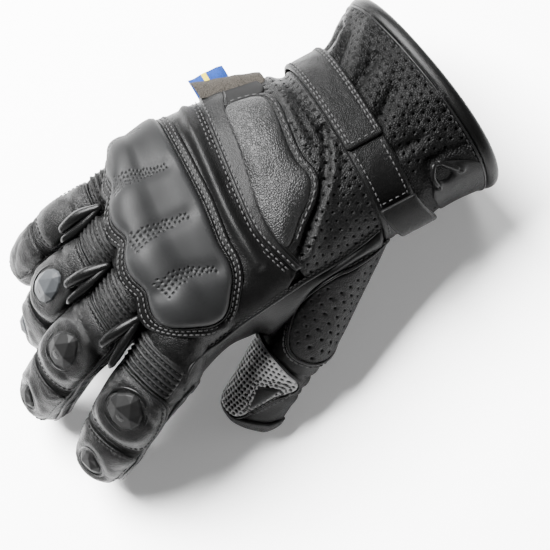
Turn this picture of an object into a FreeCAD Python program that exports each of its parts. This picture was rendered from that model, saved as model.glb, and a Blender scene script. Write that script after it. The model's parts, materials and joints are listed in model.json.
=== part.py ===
import FreeCAD, Part
import math
import os
import Sketcher
from FreeCAD import Placement, Rotation, Vector

# A right-hand short-cuff riding glove, lying palm down with its fingers curled.
# The hand frame has its origin in the middle of the wrist: X to the little-finger side,
# Y to the fingertips, Z out of the back of the hand. resting_pitch then tips it on to the
# floor, where it stands on its fingertips, thumb tip and cuff.

FINGERS = ("index", "middle", "ring", "little")
ARMOURED = ("index", "middle", "ring")
X_AXIS = Vector(1, 0, 0)
Y_AXIS = Vector(0, 1, 0)
Z_AXIS = Vector(0, 0, 1)

# ---------------------------------------------------------------- driving dimensions, mm
# Stations along the hand: place along Y, sideways shift, half width and half height.
STATIONS = {
    "rim": (-38, 6, 50, 33.5),
    "flare": (-24, 3.5, 46.5, 31.5),
    "neck": (-8, 0.8, 42.3, 28.7),
    "wrist": (10, 0.8, 42, 28.5),
    "heel": (22, 1.5, 44, 27.2),
    "thenar": (42, 3, 47.5, 24.8),
    "palm": (66, 2, 49.5, 21.8),
    "knuckles": (98, -1, 48.5, 18.5),
    "webs": (114, -2, 47, 16.5),
}
# Knuckle joint x, y, z; splay towards the thumb; bend at each joint; length of each bone
# zone; half width at the root and at the tip.
FINGER_DATA = {
    "index": (-36, 100, 0, 13, 36, 22, 12, 43, 25, 24, 11.5, 10.4),
    "middle": (-12, 104, 4, -2, 36, 25, 13, 47, 29, 25, 11.2, 10.2),
    "ring": (12, 99, 4, -6, 37, 31, 17, 44, 27, 25, 10.7, 9.8),
    "little": (33.5, 88, -4, -8, 23, 24, 16, 35, 20.5, 23.5, 10.2, 9.2),
}
FINGER_KEYS = ("x", "y", "z", "splay", "bend_a", "bend_b", "bend_c", "bone_a", "bone_b",
               "bone_c", "half_root", "half_tip")
THUMB_POINTS = {
    "root": (-33, 29, -9),
    "knuckle": (-52, 55, -27),
    "middle": (-61, 75, -43),
    "tip": (-67, 89.5, -59.5),
}
OTHER_DIMS = {
    "resting_pitch": 12,
    "leather": 1.4,
    "lining": 0.8,
    "gap": 0.25,
    "panel": 1.4,
    "pillow": 3.4,
    "guard_foam": 1.8,
    "guard_shell": 2.4,
    "bump_radius": 15,
    "bump_rise": 2.6,
    "finger_flatness": 0.93,
    "finger_pad_rise": 1.9,
    "finger_pad_inset": 1.6,
    "knuckle_set_out": 9,
    "seam_share": 0.52,
    "seam_gap": 7,
    "hand_start": 22,
    "cuff_end": 10,
    "armour_long": 14,
    "armour_wide": 11,
    "armour_high": 4.2,
    "armour_bevel": 2.2,
    "small_armour_share": 0.78,
    "thumb_root_half": 19,
    "thumb_half": 14,
    "thumb_tip_half": 10.5,
    "thumb_flatness": 0.9,
    "thumb_crease": 9,
    "strap_width": 17,
    "strap_thickness": 1.8,
    "strap_start_angle": -6,
    "strap_span_angle": 114,
    "landing_start_angle": 88,
    "landing_span_angle": 98,
    "anchor_start_angle": -160,
    "anchor_span_angle": 150,
    "binding_radius": 2.6,
    "label_long": 28,
    "label_out": 11,
    "label_thickness": 1.6,
    "tail_long": 12,
    "tail_high": 7,
    "rib_radius": 1.7,
    "rib_long": 15,
    "rib_orbit": 11.5,
}

doc = FreeCAD.newDocument("RidingGlove")
sheet = doc.addObject("Spreadsheet::Sheet", "Dims")
dimensions = dict(OTHER_DIMS)
for station, numbers in STATIONS.items():
    for key, number in zip(("along", "shift", "half_width", "half_height"), numbers):
        dimensions[f"{station}_{key}"] = number
for finger, numbers in FINGER_DATA.items():
    for key, number in zip(FINGER_KEYS, numbers):
        dimensions[f"{finger}_{key}"] = number
for point, numbers in THUMB_POINTS.items():
    for key, number in zip("xyz", numbers):
        dimensions[f"thumb_{point}_{key}"] = number
for row, (alias, number) in enumerate(dimensions.items(), 1):
    sheet.set(f"A{row}", alias)
    sheet.set(f"B{row}", str(number))
    sheet.setAlias(f"B{row}", alias)
doc.recompute()


def size(alias):
    """A dimension read from the sheet, in millimetres or degrees."""
    return float(sheet.get(alias))


# ---------------------------------------------------------------- building blocks
nodes = {}


def node(feature, name):
    """Make a finished feature a sub-part of its own, in the glove's resting attitude."""
    feature.Label = name
    pitch = Placement(Vector(), Rotation(X_AXIS, size("resting_pitch")))
    feature.Placement = pitch.multiply(feature.Placement)
    nodes[name] = feature
    return feature


def section(name, centre, normal, across, half_width, half_height):
    """An elliptical section whose two radii are expressions on the sheet."""
    ring = doc.addObject("Part::Ellipse", name)
    ring.setExpression("MajorRadius", half_width)
    ring.setExpression("MinorRadius", half_height)
    ring.Placement = Placement(centre, Rotation(across, normal.cross(across), normal, "ZXY"))
    return ring


def loft(name, rings):
    solid = doc.addObject("Part::Loft", name)
    solid.Sections = rings
    solid.Solid = True
    return solid


def boolean(kind, name, base, tool):
    result = doc.addObject(f"Part::{kind}", name)
    result.Base = base
    result.Tool = tool
    return result


def cut(name, base, tool):
    return boolean("Cut", name, base, tool)


def common(name, base, tool):
    return boolean("Common", name, base, tool)


def fuse(name, solids):
    result = doc.addObject("Part::MultiFuse", name)
    result.Shapes = solids
    return result


def prism(name, corners, direction, length, placement):
    """Extrude a closed outline. A corner is a point, or (through, end) for an arc."""
    sketch = doc.addObject("Sketcher::SketchObject", f"{name}_outline")
    sketch.Placement = placement
    start = Vector(*corners[0], 0)
    for corner in list(corners[1:]) + [corners[0]]:
        if isinstance(corner[0], tuple):
            through = Vector(*corner[0], 0)
            end = Vector(*corner[1], 0)
            sketch.addGeometry(Part.Arc(start, through, end), False)
        else:
            end = Vector(*corner, 0)
            sketch.addGeometry(Part.LineSegment(start, end), False)
        start = end
    solid = doc.addObject("Part::Extrusion", name)
    solid.Base = sketch
    solid.DirMode = "Custom"
    solid.Dir = direction
    solid.LengthFwd = length
    solid.Solid = True
    return solid


def down_prism(name, corners, height=70):
    """A prism over an outline drawn in the plane of the hand, up from its mid plane."""
    return prism(name, corners, Z_AXIS, height, Placement())


def under_prism(name, corners, height=70):
    """The same, down from the mid plane, for the palm."""
    return prism(name, corners, -Z_AXIS, height, Placement())


def side_prism(name, corners, length=90):
    """A prism towards the thumb side over an outline drawn in Y and Z."""
    turned = Rotation(Y_AXIS, Z_AXIS, X_AXIS, "ZXY")
    return prism(name, corners, -X_AXIS, length, Placement(Vector(), turned))


def origin_plane(body, role):
    for feature in body.Origin.OriginFeatures:
        if feature.Role == role:
            return feature
    raise LookupError(role)


def polygon_sketch(body, name, role, corners):
    """A sketch in the body whose corners are (x, y) expressions or 0."""
    sketch = body.newObject("Sketcher::SketchObject", name)
    sketch.AttachmentSupport = [(origin_plane(body, role), "")]
    sketch.MapMode = "FlatFace"
    places = []
    for corner in corners:
        place = [expression_value(text) for text in corner]
        places.append(Vector(*place, 0))
    count = len(places)
    for i in range(count):
        sketch.addGeometry(Part.LineSegment(places[i], places[(i + 1) % count]), False)
    for i in range(count):
        sketch.addConstraint(Sketcher.Constraint("Coincident", i, 2, (i + 1) % count, 1))
    for i, corner in enumerate(corners):
        for kind, axis, text, coordinate in zip(
                ("DistanceX", "DistanceY"), (-2, -1), corner, (places[i].x, places[i].y)):
            if text == 0:
                sketch.addConstraint(Sketcher.Constraint("PointOnObject", i, 1, axis))
                continue
            if coordinate > 0:
                limit = Sketcher.Constraint(kind, -1, 1, i, 1, coordinate)
                bound = text
            else:
                limit = Sketcher.Constraint(kind, i, 1, -1, 1, -coordinate)
                bound = f"-({text})"
            index = sketch.addConstraint(limit)
            sketch.setExpression(f"Constraints[{index}]", bound)
    return sketch


def expression_value(text):
    """The number an expression on the sheet gives, for a sketch's first drawing."""
    if text == 0:
        return 0.0
    return float(sheet.evalExpression(str(text)))


def pad(body, name, sketch, length):
    feature = body.newObject("PartDesign::Pad", name)
    feature.Profile = sketch
    feature.setExpression("Length", length)
    return feature


# ---------------------------------------------------------------- hand and cuff surfaces
HAND_STATIONS = ("heel", "thenar", "palm", "knuckles", "webs")
CUFF_STATIONS = ("rim", "flare", "neck", "wrist")
surfaces = {}


def surface(stations, grow):
    """The closed form through some stations, with every radius grown by an expression."""
    key = (stations, grow)
    if key in surfaces:
        return surfaces[key]
    number = len(surfaces)
    rings = []
    for station in stations:
        centre = Vector(size(f"{station}_shift"), size(f"{station}_along"), 0)
        rings.append(section(
            f"{station}_{number}", centre, Y_AXIS, X_AXIS,
            f"Dims.{station}_half_width + {grow}", f"Dims.{station}_half_height + {grow}"))
    surfaces[key] = loft(f"surface_{number}", rings)
    return surfaces[key]


def layer(name, stations, low, high):
    """The shell between two grown surfaces."""
    return cut(name, surface(stations, high), surface(stations, low))


PANEL_TOP = "Dims.gap + Dims.panel"

# The line the hand's leather ends on, a little behind the knuckle joints.
KNUCKLE_LINE = [(-60, 0), (60, 0), (60, 70), (30, 82), (12, 92), (-12, 97), (-38, 90), (-60, 80)]


def above_and_below(name, corners, height=60):
    """A prism both ways from the hand's mid plane."""
    return prism(name, corners, Z_AXIS, 2 * height, Placement(Vector(0, 0, -height), Rotation()))


# ---------------------------------------------------------------- thumb and finger lines
def thumb_point(name):
    return Vector(*[size(f"thumb_{name}_{key}") for key in "xyz"])


def unit(vector):
    return Vector(vector).normalize()


# The thumb's nail side looks away from the palm, towards the back and the thumb side.
THUMB_NAIL_SIDE = Vector(-0.72, -0.1, 0.69)
thumb_joints = [thumb_point(name) for name in THUMB_POINTS]
thumb_runs = [unit(b - a) for a, b in zip(thumb_joints, thumb_joints[1:])]


def thumb_across(direction):
    return unit(direction.cross(THUMB_NAIL_SIDE))


def finger_line(finger):
    """Joint centres, run directions, back normals and the across direction of a finger."""
    splay = math.radians(size(f"{finger}_splay"))
    ahead = Vector(-math.sin(splay), math.cos(splay), 0)
    across = Vector(math.cos(splay), math.sin(splay), 0)
    joints = [Vector(*[size(f"{finger}_{key}") for key in "xyz"])]
    runs = []
    backs = []
    bend = 0
    for letter in "abc":
        bend += math.radians(size(f"{finger}_bend_{letter}"))
        run = ahead * math.cos(bend) - Z_AXIS * math.sin(bend)
        runs.append(run)
        backs.append(ahead * math.sin(bend) + Z_AXIS * math.cos(bend))
        joints.append(joints[-1] + run * size(f"{finger}_bone_{letter}"))
    return joints, runs, backs, across


# ---------------------------------------------------------------- hand panels
thumb_tube = {}


def thumb_root_form(grow):
    """The flared root of the thumb, from inside the hand to just short of its knuckle."""
    if grow in thumb_tube:
        return thumb_tube[grow]
    number = len(thumb_tube)
    run = thumb_runs[0]
    end = thumb_joints[1] - run * (size("thumb_crease") / 2)
    rings = []
    for place, half in ((thumb_joints[0], "thumb_root_half"), (end, "thumb_half")):
        rings.append(section(
            f"thumb_root_{half}_{number}", place, run, thumb_across(run),
            f"Dims.{half} + {grow}", f"Dims.{half} * Dims.thumb_flatness + {grow}"))
    thumb_tube[grow] = loft(f"thumb_root_form_{number}", rings)
    return thumb_tube[grow]


def build_hand():
    """The leather of the hand: a back and a palm sewn together at the sides, lined inside."""
    trim = above_and_below("knuckle_line_trim", KNUCKLE_LINE)
    shell = layer("hand_leather", HAND_STATIONS, "-Dims.leather", "0")
    trimmed = common("hand_leather_trimmed", shell, trim)
    half = doc.addObject("Part::Box", "back_half")
    half.Length = 140
    half.Width = 140
    half.Height = 60
    half.Placement = Placement(Vector(-70, 0, -6), Rotation())
    thumb_hole = thumb_root_form("Dims.gap")
    back = common("back_leather", trimmed, half)
    node(cut("back_leather_opened", back, thumb_hole), "back_panel")
    palm = cut("palm_leather", trimmed, half)
    node(cut("palm_leather_opened", palm, thumb_hole), "palm_panel")
    inside = layer("lining_layer", HAND_STATIONS, "-(Dims.leather + Dims.gap + Dims.lining)",
                   "-(Dims.leather + Dims.gap)")
    lining = common("lining_trimmed", inside, trim)
    node(cut("lining_opened", lining, thumb_root_form("Dims.gap")), "hand_lining")


GUARD_OUTLINE = [
    (50, 67), ((56, 82), (41, 95)), ((34, 99), (26, 99)), ((15, 107), (2, 105)),
    ((-8, 111), (-20, 107.5)), ((-33, 108), (-41, 97)), ((-44, 86), (-37, 78)),
    ((-30, 73), (-20, 73)), (0, 70)]
BORDER_OUTLINE = [
    (50, 62), ((61, 84), (43, 98)), ((35, 102), (27, 101)), ((15, 110), (3, 108)),
    ((-8, 114), (-21, 110.5)), ((-27, 103), (-34, 100)), ((-44, 97), (-46.5, 88)),
    ((-46, 79), (-40, 74)),
    ((-31, 69), (-20, 68.5)), (0, 65.5)]
FOAM_OUTLINE = [
    (46, 70), ((51, 82), (38, 92)), ((32, 95), (25, 95)), ((14, 100), (2, 98.5)),
    ((-8, 103), (-18, 101)), ((-30, 100), (-36, 93)), ((-39, 86), (-33, 80)),
    ((-28, 76), (-20, 76)), (0, 73)]
BUMPS = ((39, 81), (15.5, 88), (-8, 93.5), (-31, 94))


def bump_place(place):
    """A point of the bare hand surface above (x, y), and the way out of it there."""
    along, ahead = place
    share = (ahead - size("palm_along")) / (size("knuckles_along") - size("palm_along"))

    def between(key):
        low = size(f"palm_{key}")
        return low + (size(f"knuckles_{key}") - low) * share

    offset = along - between("shift")
    wide = between("half_width")
    high = between("half_height")
    rise = high * math.sqrt(1 - (offset / wide) ** 2)
    out = unit(Vector(offset / wide ** 2, 0.004, rise / high ** 2))
    return Vector(along, ahead, rise), out


def bumps(name, low):
    """Four domes over the knuckles, sunk so that they rise bump_rise over the guard."""
    domes = []
    for number, place in enumerate(BUMPS):
        dome = doc.addObject("Part::Sphere", f"{name}_{number}")
        dome.setExpression("Radius", f"Dims.bump_radius - {low}")
        ground, out = bump_place(place)
        top = size("gap") * 2 + size("guard_foam") + size("guard_shell") + size("bump_rise")
        dome.Placement = Placement(ground + out * (top - size("bump_radius")), Rotation())
        domes.append(dome)
    return domes


def build_guard():
    """A moulded knuckle shell over foam, with a stitched leather border round it."""
    outline = down_prism("guard_prism", GUARD_OUTLINE)
    foam_top = "Dims.gap + Dims.guard_foam"
    shell_low = f"{foam_top} + Dims.gap"
    shell_top = f"{shell_low} + Dims.guard_shell"
    stations = HAND_STATIONS
    outer = fuse("guard_outer", [surface(stations, shell_top)] + bumps("outer_dome", "0"))
    inner = fuse("guard_inner", [surface(stations, shell_low)] + bumps("inner_dome", "2.4"))
    filled = fuse("foam_outer", [surface(stations, foam_top)] + bumps("foam_dome", "2.7"))
    shell = cut("guard_hollow", outer, inner)
    node(common("guard_form", shell, outline), "knuckle_guard")
    foam = cut("foam_form", filled, surface(stations, "Dims.gap"))
    foam_prism = down_prism("foam_prism", FOAM_OUTLINE)
    node(common("foam_trimmed", foam, foam_prism), "knuckle_foam")
    border = layer("border_layer", stations, "Dims.gap", PANEL_TOP)
    wide = common("border_wide", border, down_prism("border_prism", BORDER_OUTLINE))
    node(cut("border_ring", wide, down_prism("border_inside", GUARD_OUTLINE)), "guard_border")


BACK_PAD_OUTLINE = [
    (39, 42), (38, 32), ((33, 24.5), (20, 24.5)), (0, 27), ((-14, 24), (-23, 32)),
    (-36, 44), (-18, 49), (8, 44)]
STRIP_OUTLINE = [
    (46, 43), (30, 44), (8, 46), (-18, 51), (-42, 47), (-42, 52), (-18, 56.5), (10, 54.5),
    (30, 53), (46, 54)]
PALM_PATCH_OUTLINE = [
    (-22, 30), ((8, 25), (34, 34)), (38, 58), ((20, 72), (0, 66)), (-16, 52)]
SIDE_PANEL_OUTLINE = [(50, 3), (72, 2), (90, -1), (90, -13), (74, -16), (58, -15)]


def build_hand_panels():
    """The pieces sewn on to the hand: back pillow, strip, side panel and palm patch."""
    pillow = layer("pillow_layer", HAND_STATIONS, "Dims.gap", "Dims.gap + Dims.pillow")
    flat = layer("panel_layer", HAND_STATIONS, "Dims.gap", PANEL_TOP)
    node(common("pillow_form", pillow, down_prism("pillow_prism", BACK_PAD_OUTLINE)), "back_pad")
    node(common("strip_form", flat, down_prism("strip_prism", STRIP_OUTLINE)), "backhand_strip")
    patch = common("patch_form", flat, under_prism("patch_prism", PALM_PATCH_OUTLINE))
    node(patch, "palm_patch")
    side = common("side_form", flat, side_prism("side_prism", SIDE_PANEL_OUTLINE))
    node(cut("side_cleared", side, thumb_root_form("Dims.gap + Dims.gap")), "thumb_side_panel")


def build_side_label():
    """A folded woven loop that stands out of the seam on the little-finger side."""
    body = doc.addObject("PartDesign::Body", "label_body")
    sketch = polygon_sketch(body, "label_outline", "XY_Plane", [
        ("Dims.label_out / 100", "-Dims.label_long / 2"),
        ("Dims.label_out", "-Dims.label_long / 2 + 1"),
        ("Dims.label_out", "Dims.label_long / 2 - 1"),
        ("Dims.label_out / 100", "Dims.label_long / 2")])
    pad(body, "label_pad", sketch, "Dims.label_thickness")
    tilt = Rotation(Z_AXIS, -11.7).multiply(Rotation(Y_AXIS, -18))
    body.Placement = Placement(Vector(49.6, 34.5, 3), tilt)
    node(body, "side_label")


# The seams between neighbouring fingers end in short tapering ridges over the webs.
RIDGES = {
    "ridge_index_middle": ("index", "middle"),
    "ridge_middle_ring": ("middle", "ring"),
    "ridge_ring_little": ("ring", "little"),
}
RIDGE_REACH = (-1, 7, 14)
RIDGE_DROP = (10.3, 9, 5)
RIDGE_HALF = ("2.1", "1.9", "0.8")


def build_ridges():
    for name, (first, second) in RIDGES.items():
        middle = (finger_line(first)[0][0] + finger_line(second)[0][0]) * 0.5
        rings = []
        for reach, drop, half in zip(RIDGE_REACH, RIDGE_DROP, RIDGE_HALF):
            place = middle + Vector(0, reach, drop)
            rings.append(section(f"{name}_{reach + 9}", place, Y_AXIS, X_AXIS, half, half))
        node(loft(f"{name}_form", rings), name)


# ---------------------------------------------------------------- fingers
def tube(name, stops, grow):
    """A loft through (place, normal, across, half width text) stops."""
    rings = []
    for number, (place, normal, across, half) in enumerate(stops):
        rings.append(section(
            f"{name}_{number}", place, normal, across, f"{half} + {grow}",
            f"({half}) * Dims.finger_flatness + {grow}"))
    return loft(name, rings)


def raised(stops, backs, height):
    """The same stops moved out of the back of the finger."""
    return [(place + back * height, normal, across, half)
            for (place, normal, across, half), back in zip(stops, backs)]


def finger_stops(finger):
    """The stops of the base sleeve and of the tip sleeve, with their back normals."""
    joints, runs, backs, across = finger_line(finger)
    root = f"Dims.{finger}_half_root"
    tip = f"Dims.{finger}_half_tip"
    seam = joints[1] + runs[1] * (size(f"{finger}_bone_b") * size("seam_share"))
    half_gap = size("seam_gap") / 2
    first_bend = unit(runs[0] + runs[1])
    last_bend = unit(runs[1] + runs[2])
    base = [
        (joints[0] + runs[0] * size("knuckle_set_out"), runs[0], across, root),
        (joints[0] + (joints[1] - joints[0]) * 0.6, runs[0], across, root),
        (joints[1], first_bend, across, f"({root} + {tip}) / 2"),
        (seam - runs[1] * half_gap, runs[1], across, f"({root} + {tip}) / 2"),
    ]
    base_backs = [backs[0], backs[0], unit(backs[0] + backs[1]), backs[1]]
    last = size(f"{finger}_bone_c")
    tip_stops = [
        (seam + runs[1] * half_gap, runs[1], across, f"({root} + {tip}) / 2"),
        (joints[2], last_bend, across, tip),
        (joints[2] + runs[2] * (last * 0.55), runs[2], across, f"{tip} * 0.97"),
        (joints[2] + runs[2] * (last * 0.86), runs[2], across, f"{tip} * 0.76"),
        (joints[2] + runs[2] * last, runs[2], across, f"{tip} * 0.4"),
    ]
    tip_backs = [backs[1], unit(backs[1] + backs[2]), backs[2], backs[2], backs[2]]
    return base, base_backs, tip_stops, tip_backs, seam


def seam_stops(finger, seam, runs, across):
    """A short ring under the flex seam, tucked inside both sleeves."""
    reach = size("seam_gap") / 2 + 2
    half = f"(Dims.{finger}_half_root + Dims.{finger}_half_tip) / 2"
    return [(seam - runs[1] * reach, runs[1], across, half),
            (seam + runs[1] * reach, runs[1], across, half)]


def armour(name, place, across, back, share):
    """A hard faceted teardrop, point towards the fingertip, bevelled all round its top."""
    body = doc.addObject("PartDesign::Body", f"{name}_body")
    wide = f"Dims.armour_wide * {share} / 2"
    long = f"Dims.armour_long * {share} / 2"
    sketch = polygon_sketch(body, f"{name}_outline", "XY_Plane", [
        (f"-({wide}) * 0.55", f"-({long})"), (f"({wide}) * 0.55", f"-({long})"),
        (wide, f"-({long}) * 0.3"), (f"({wide}) * 0.8", f"({long}) * 0.5"),
        (0, long), (f"-({wide}) * 0.8", f"({long}) * 0.5"), (f"-({wide})", f"-({long}) * 0.3")])
    block = pad(body, f"{name}_pad", sketch, f"Dims.armour_high * {share}")
    doc.recompute()
    top = max(range(len(block.Shape.Faces)), key=lambda n: block.Shape.Faces[n].CenterOfMass.z)
    bevel = body.newObject("PartDesign::Chamfer", f"{name}_bevel")
    bevel.Base = (block, [f"Face{top + 1}"])
    bevel.setExpression("Size", f"Dims.armour_bevel * {share}")
    body.Placement = Placement(place, Rotation(across, back.cross(across), back, "ZXY"))
    node(body, name)


def build_finger(finger):
    joints, runs, backs, across = finger_line(finger)
    base, base_backs, tip_stops, tip_backs, seam = finger_stops(finger)
    leather = "-Dims.leather"
    node(cut(f"{finger}_base_form", tube(f"{finger}_base_out", base, "0"),
             tube(f"{finger}_base_in", base, leather)), f"{finger}_sleeve")
    hollow = tube(f"{finger}_tip_in", tip_stops[:-1], leather)
    node(cut(f"{finger}_tip_form", tube(f"{finger}_tip_out", tip_stops, "0"), hollow),
         f"{finger}_tip_sleeve")

    rise = size("gap") + size("finger_pad_rise")
    narrower = size("finger_pad_inset")
    lift = rise + narrower * size("finger_flatness")
    lifted = [(place, normal, side, f"{half} - Dims.finger_pad_inset")
              for place, normal, side, half in raised(base, base_backs, lift)]
    start, normal, side, half = lifted[0]
    lifted[0] = (start + runs[0] * 3, normal, side, half)
    end, normal, side, half = lifted[-1]
    lifted[-1] = (end - runs[1] * 1, normal, side, half)
    node(cut(f"{finger}_pad_form", tube(f"{finger}_pad_out", lifted, "0"),
             tube(f"{finger}_pad_in", base, "Dims.gap")), f"{finger}_back_pad")

    stops = seam_stops(finger, seam, runs, across)
    node(cut(f"{finger}_seam_form", tube(f"{finger}_seam_out", stops, "-2.1"),
             tube(f"{finger}_seam_in", stops, "-3.1")), f"{finger}_flex_seam")

    if finger not in ARMOURED:
        return
    flat = size("finger_flatness")
    middle_half = (size(f"{finger}_half_root") + size(f"{finger}_half_tip")) / 2
    height = middle_half * flat + rise
    back = unit(backs[0] + backs[1])
    armour(f"{finger}_armour", joints[1] + back * height, across, back, "1")
    height = size(f"{finger}_half_tip") * flat + size("gap") + 0.3
    share = size("small_armour_share")
    place = joints[2] + runs[2] * (size(f"{finger}_bone_c") * 0.3) + backs[2] * height
    armour(f"{finger}_tip_armour", place, across, backs[2], str(share))


RIB_ANGLES = (14, 28, 42, 56)


def build_stretch_panel(finger):
    """Ribs fused side by side round the knuckle joint: a pleated panel that opens as it bends."""
    joints, runs, backs, across = finger_line(finger)
    ahead = Z_AXIS.cross(across)
    ribs = []
    for number, angle in enumerate(RIB_ANGLES):
        turn = math.radians(angle)
        out = ahead * math.sin(turn) + Z_AXIS * math.cos(turn)
        centre = joints[0] + out * size("rib_orbit") - across * (size("rib_long") / 2)
        rib = doc.addObject("Part::Cylinder", f"{finger}_rib_{number}")
        rib.setExpression("Radius", "Dims.rib_radius")
        rib.setExpression("Height", "Dims.rib_long")
        rib.Placement = Placement(centre, Rotation(Z_AXIS, across))
        ribs.append(rib)
    node(fuse(f"{finger}_ribs", ribs), f"{finger}_stretch_panel")


# ---------------------------------------------------------------- thumb
def thumb_shell(name, stops, open_end=True):
    """A leather tube through (place, run, half width text) stops."""
    def form(label, chosen, grow):
        rings = []
        for number, (place, run, half) in enumerate(chosen):
            rings.append(section(
                f"{label}_{number}", place, run, thumb_across(run), f"{half} + {grow}",
                f"({half}) * Dims.thumb_flatness + {grow}"))
        return loft(label, rings)
    inner = stops if open_end else stops[:-1]
    return cut(f"{name}_form", form(f"{name}_out", stops, "0"),
               form(f"{name}_in", inner, "-Dims.leather"))


def thumb_over(name, stops, rise, narrow):
    """A pad over the nail side of a thumb tube."""
    outer = []
    inner = []
    lift = rise + size("gap") + narrow * size("thumb_flatness")
    for number, (place, run, half) in enumerate(stops):
        across = thumb_across(run)
        out = unit(across.cross(run))
        flat = f"({half}) * Dims.thumb_flatness"
        outer.append(section(f"{name}_o{number}", place + out * lift, run, across,
                             f"{half} - {narrow}", f"({half} - {narrow}) * Dims.thumb_flatness"))
        inner.append(section(f"{name}_i{number}", place, run, across,
                             f"{half} + Dims.gap", f"{flat} + Dims.gap"))
    return cut(f"{name}_form", loft(f"{name}_out", outer), loft(f"{name}_in", inner))


def build_thumb():
    """The thumb: a flared root sewn into the hand, a middle part and a closed tip."""
    root, knuckle, middle, tip = thumb_joints
    run_a, run_b, run_c = thumb_runs
    half_crease = size("thumb_crease") / 2
    saddle = cut("saddle_tube", thumb_root_form("0"), thumb_root_form("-Dims.leather"))
    node(cut("saddle_form", saddle, surface(HAND_STATIONS, "Dims.gap")), "thumb_saddle")
    cover = cut("insert_tube", thumb_root_form(PANEL_TOP), thumb_root_form("Dims.gap"))
    outline = side_prism("insert_prism", [(26, -6), (46, -3), (50, -16), (50, -30), (36, -30)])
    clear = cut("insert_cleared", cover, surface(HAND_STATIONS, "Dims.gap + Dims.gap"))
    node(common("insert_form", clear, outline), "thumb_heel_insert")

    joined = f"(Dims.thumb_half + Dims.thumb_tip_half) / 2"
    middle_stops = [
        (knuckle + run_b * half_crease, run_b, "Dims.thumb_half"),
        (middle - run_b * half_crease, run_b, f"{joined} + 0.8"),
    ]
    tip_long = (tip - middle).Length
    tip_stops = [
        (middle + run_c * half_crease, run_c, joined),
        (middle + run_c * (tip_long * 0.6), run_c, "Dims.thumb_tip_half"),
        (middle + run_c * (tip_long * 0.86), run_c, "Dims.thumb_tip_half * 0.78"),
        (tip, run_c, "Dims.thumb_tip_half * 0.42"),
    ]
    node(thumb_shell("thumb_middle", middle_stops), "thumb_sleeve")
    node(thumb_shell("thumb_end", tip_stops, open_end=False), "thumb_tip_sleeve")
    node(thumb_over("thumb_mesh", middle_stops, 1.9, 2), "thumb_mesh_panel")
    node(thumb_over("thumb_patch", tip_stops[:3], 1.6, 1.6), "thumb_tip_patch")
    for name, centre, run, half in (
            ("thumb_base_crease", knuckle, unit(run_a + run_b), "Dims.thumb_half - 3.2"),
            ("thumb_tip_crease", middle, unit(run_b + run_c), f"{joined} - 2.8")):
        reach = half_crease + 1.5
        stops = [(centre - run * reach, run, half), (centre + run * reach, run, half)]
        node(thumb_shell(name, stops), name)


# ---------------------------------------------------------------- cuff and strap
def sector(name, start, along, length, span, shift):
    """A wedge about the arm's axis, from start along Y, span degrees from an angle."""
    wedge = doc.addObject("Part::Cylinder", name)
    wedge.Radius = 90
    wedge.setExpression("Height", length)
    wedge.setExpression("Angle", span)
    axis_to_arm = Rotation(X_AXIS, Vector(0, 0, 1), Vector(0, -1, 0), "ZXY")
    turn = Rotation(Vector(0, -1, 0), start)
    wedge.Placement = Placement(Vector(shift, along, 0), turn.multiply(axis_to_arm))
    return wedge


def band(name, low, high, start, span):
    """A curved strap piece at the wrist, between two heights over the cuff."""
    half = size("strap_width") / 2
    walls = []
    for side, grow in (("out", high), ("in", low)):
        ring = section(f"{name}_{side}", Vector(size("neck_shift"), -half, 0), Y_AXIS, X_AXIS,
                       f"Dims.neck_half_width + {grow}", f"Dims.neck_half_height + {grow}")
        wall = doc.addObject("Part::Extrusion", f"{name}_{side}_wall")
        wall.Base = ring
        wall.DirMode = "Custom"
        wall.Dir = Y_AXIS
        wall.setExpression("LengthFwd", "Dims.strap_width")
        wall.Solid = True
        walls.append(wall)
    hoop = cut(f"{name}_hoop", walls[0], walls[1])
    wedge = sector(f"{name}_sector", size(start), half + 1, "Dims.strap_width + 2",
                   span, size("neck_shift"))
    return node(common(f"{name}_form", hoop, wedge), name)


def build_cuff():
    """The perforated cuff, its lining, its bound rim and the fold let into its thumb side."""
    shell = layer("cuff_leather", CUFF_STATIONS, "-Dims.leather", "0")
    node(shell, "cuff_shell")
    inside = layer("cuff_lining_layer", CUFF_STATIONS, "-(Dims.leather + Dims.gap + Dims.lining)",
                   "-(Dims.leather + Dims.gap)")
    node(inside, "cuff_lining")
    rim = Vector(size("rim_shift"), size("rim_along") - size("binding_radius") - size("gap"), 0)
    path = section("binding_path", rim, Y_AXIS, X_AXIS,
                   "Dims.rim_half_width - 0.8", "Dims.rim_half_height - 0.8")
    round_section = doc.addObject("Part::Circle", "binding_section")
    round_section.setExpression("Radius", "Dims.binding_radius")
    start = rim + X_AXIS * (size("rim_half_width") - 0.8)
    round_section.Placement = Placement(start, Rotation())
    binding = doc.addObject("Part::Sweep", "binding_sweep")
    binding.Sections = [round_section]
    binding.Spine = (path, ["Edge1"])
    binding.Solid = True
    binding.Frenet = True
    node(binding, "cuff_binding")
    over = layer("gusset_layer", CUFF_STATIONS, "Dims.gap", PANEL_TOP)
    wedge = sector("gusset_sector", 142, -18, "18", "42", size("rim_shift"))
    node(common("gusset_form", over, wedge), "cuff_gusset")


def build_wrist_panel():
    """The soft perforated ring that joins cuff and hand and creases as the wrist bends."""
    rings_in = []
    rings_out = []
    reach = 3
    spots = ((size("cuff_end") - reach, "wrist"), (size("hand_start") + reach, "heel"))
    for place, station in spots:
        centre = Vector(size(f"{station}_shift"), place, 0)
        for rings, inset in ((rings_out, "3.6"), (rings_in, "4.6")):
            rings.append(section(
                f"wrist_panel_{station}_{len(rings_in)}_{len(rings_out)}", centre, Y_AXIS, X_AXIS,
                f"Dims.{station}_half_width - {inset}", f"Dims.{station}_half_height - {inset}"))
    outer = loft("wrist_panel_out", rings_out)
    inner = loft("wrist_panel_in", rings_in)
    node(cut("wrist_panel_form", outer, inner), "wrist_panel")


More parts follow.
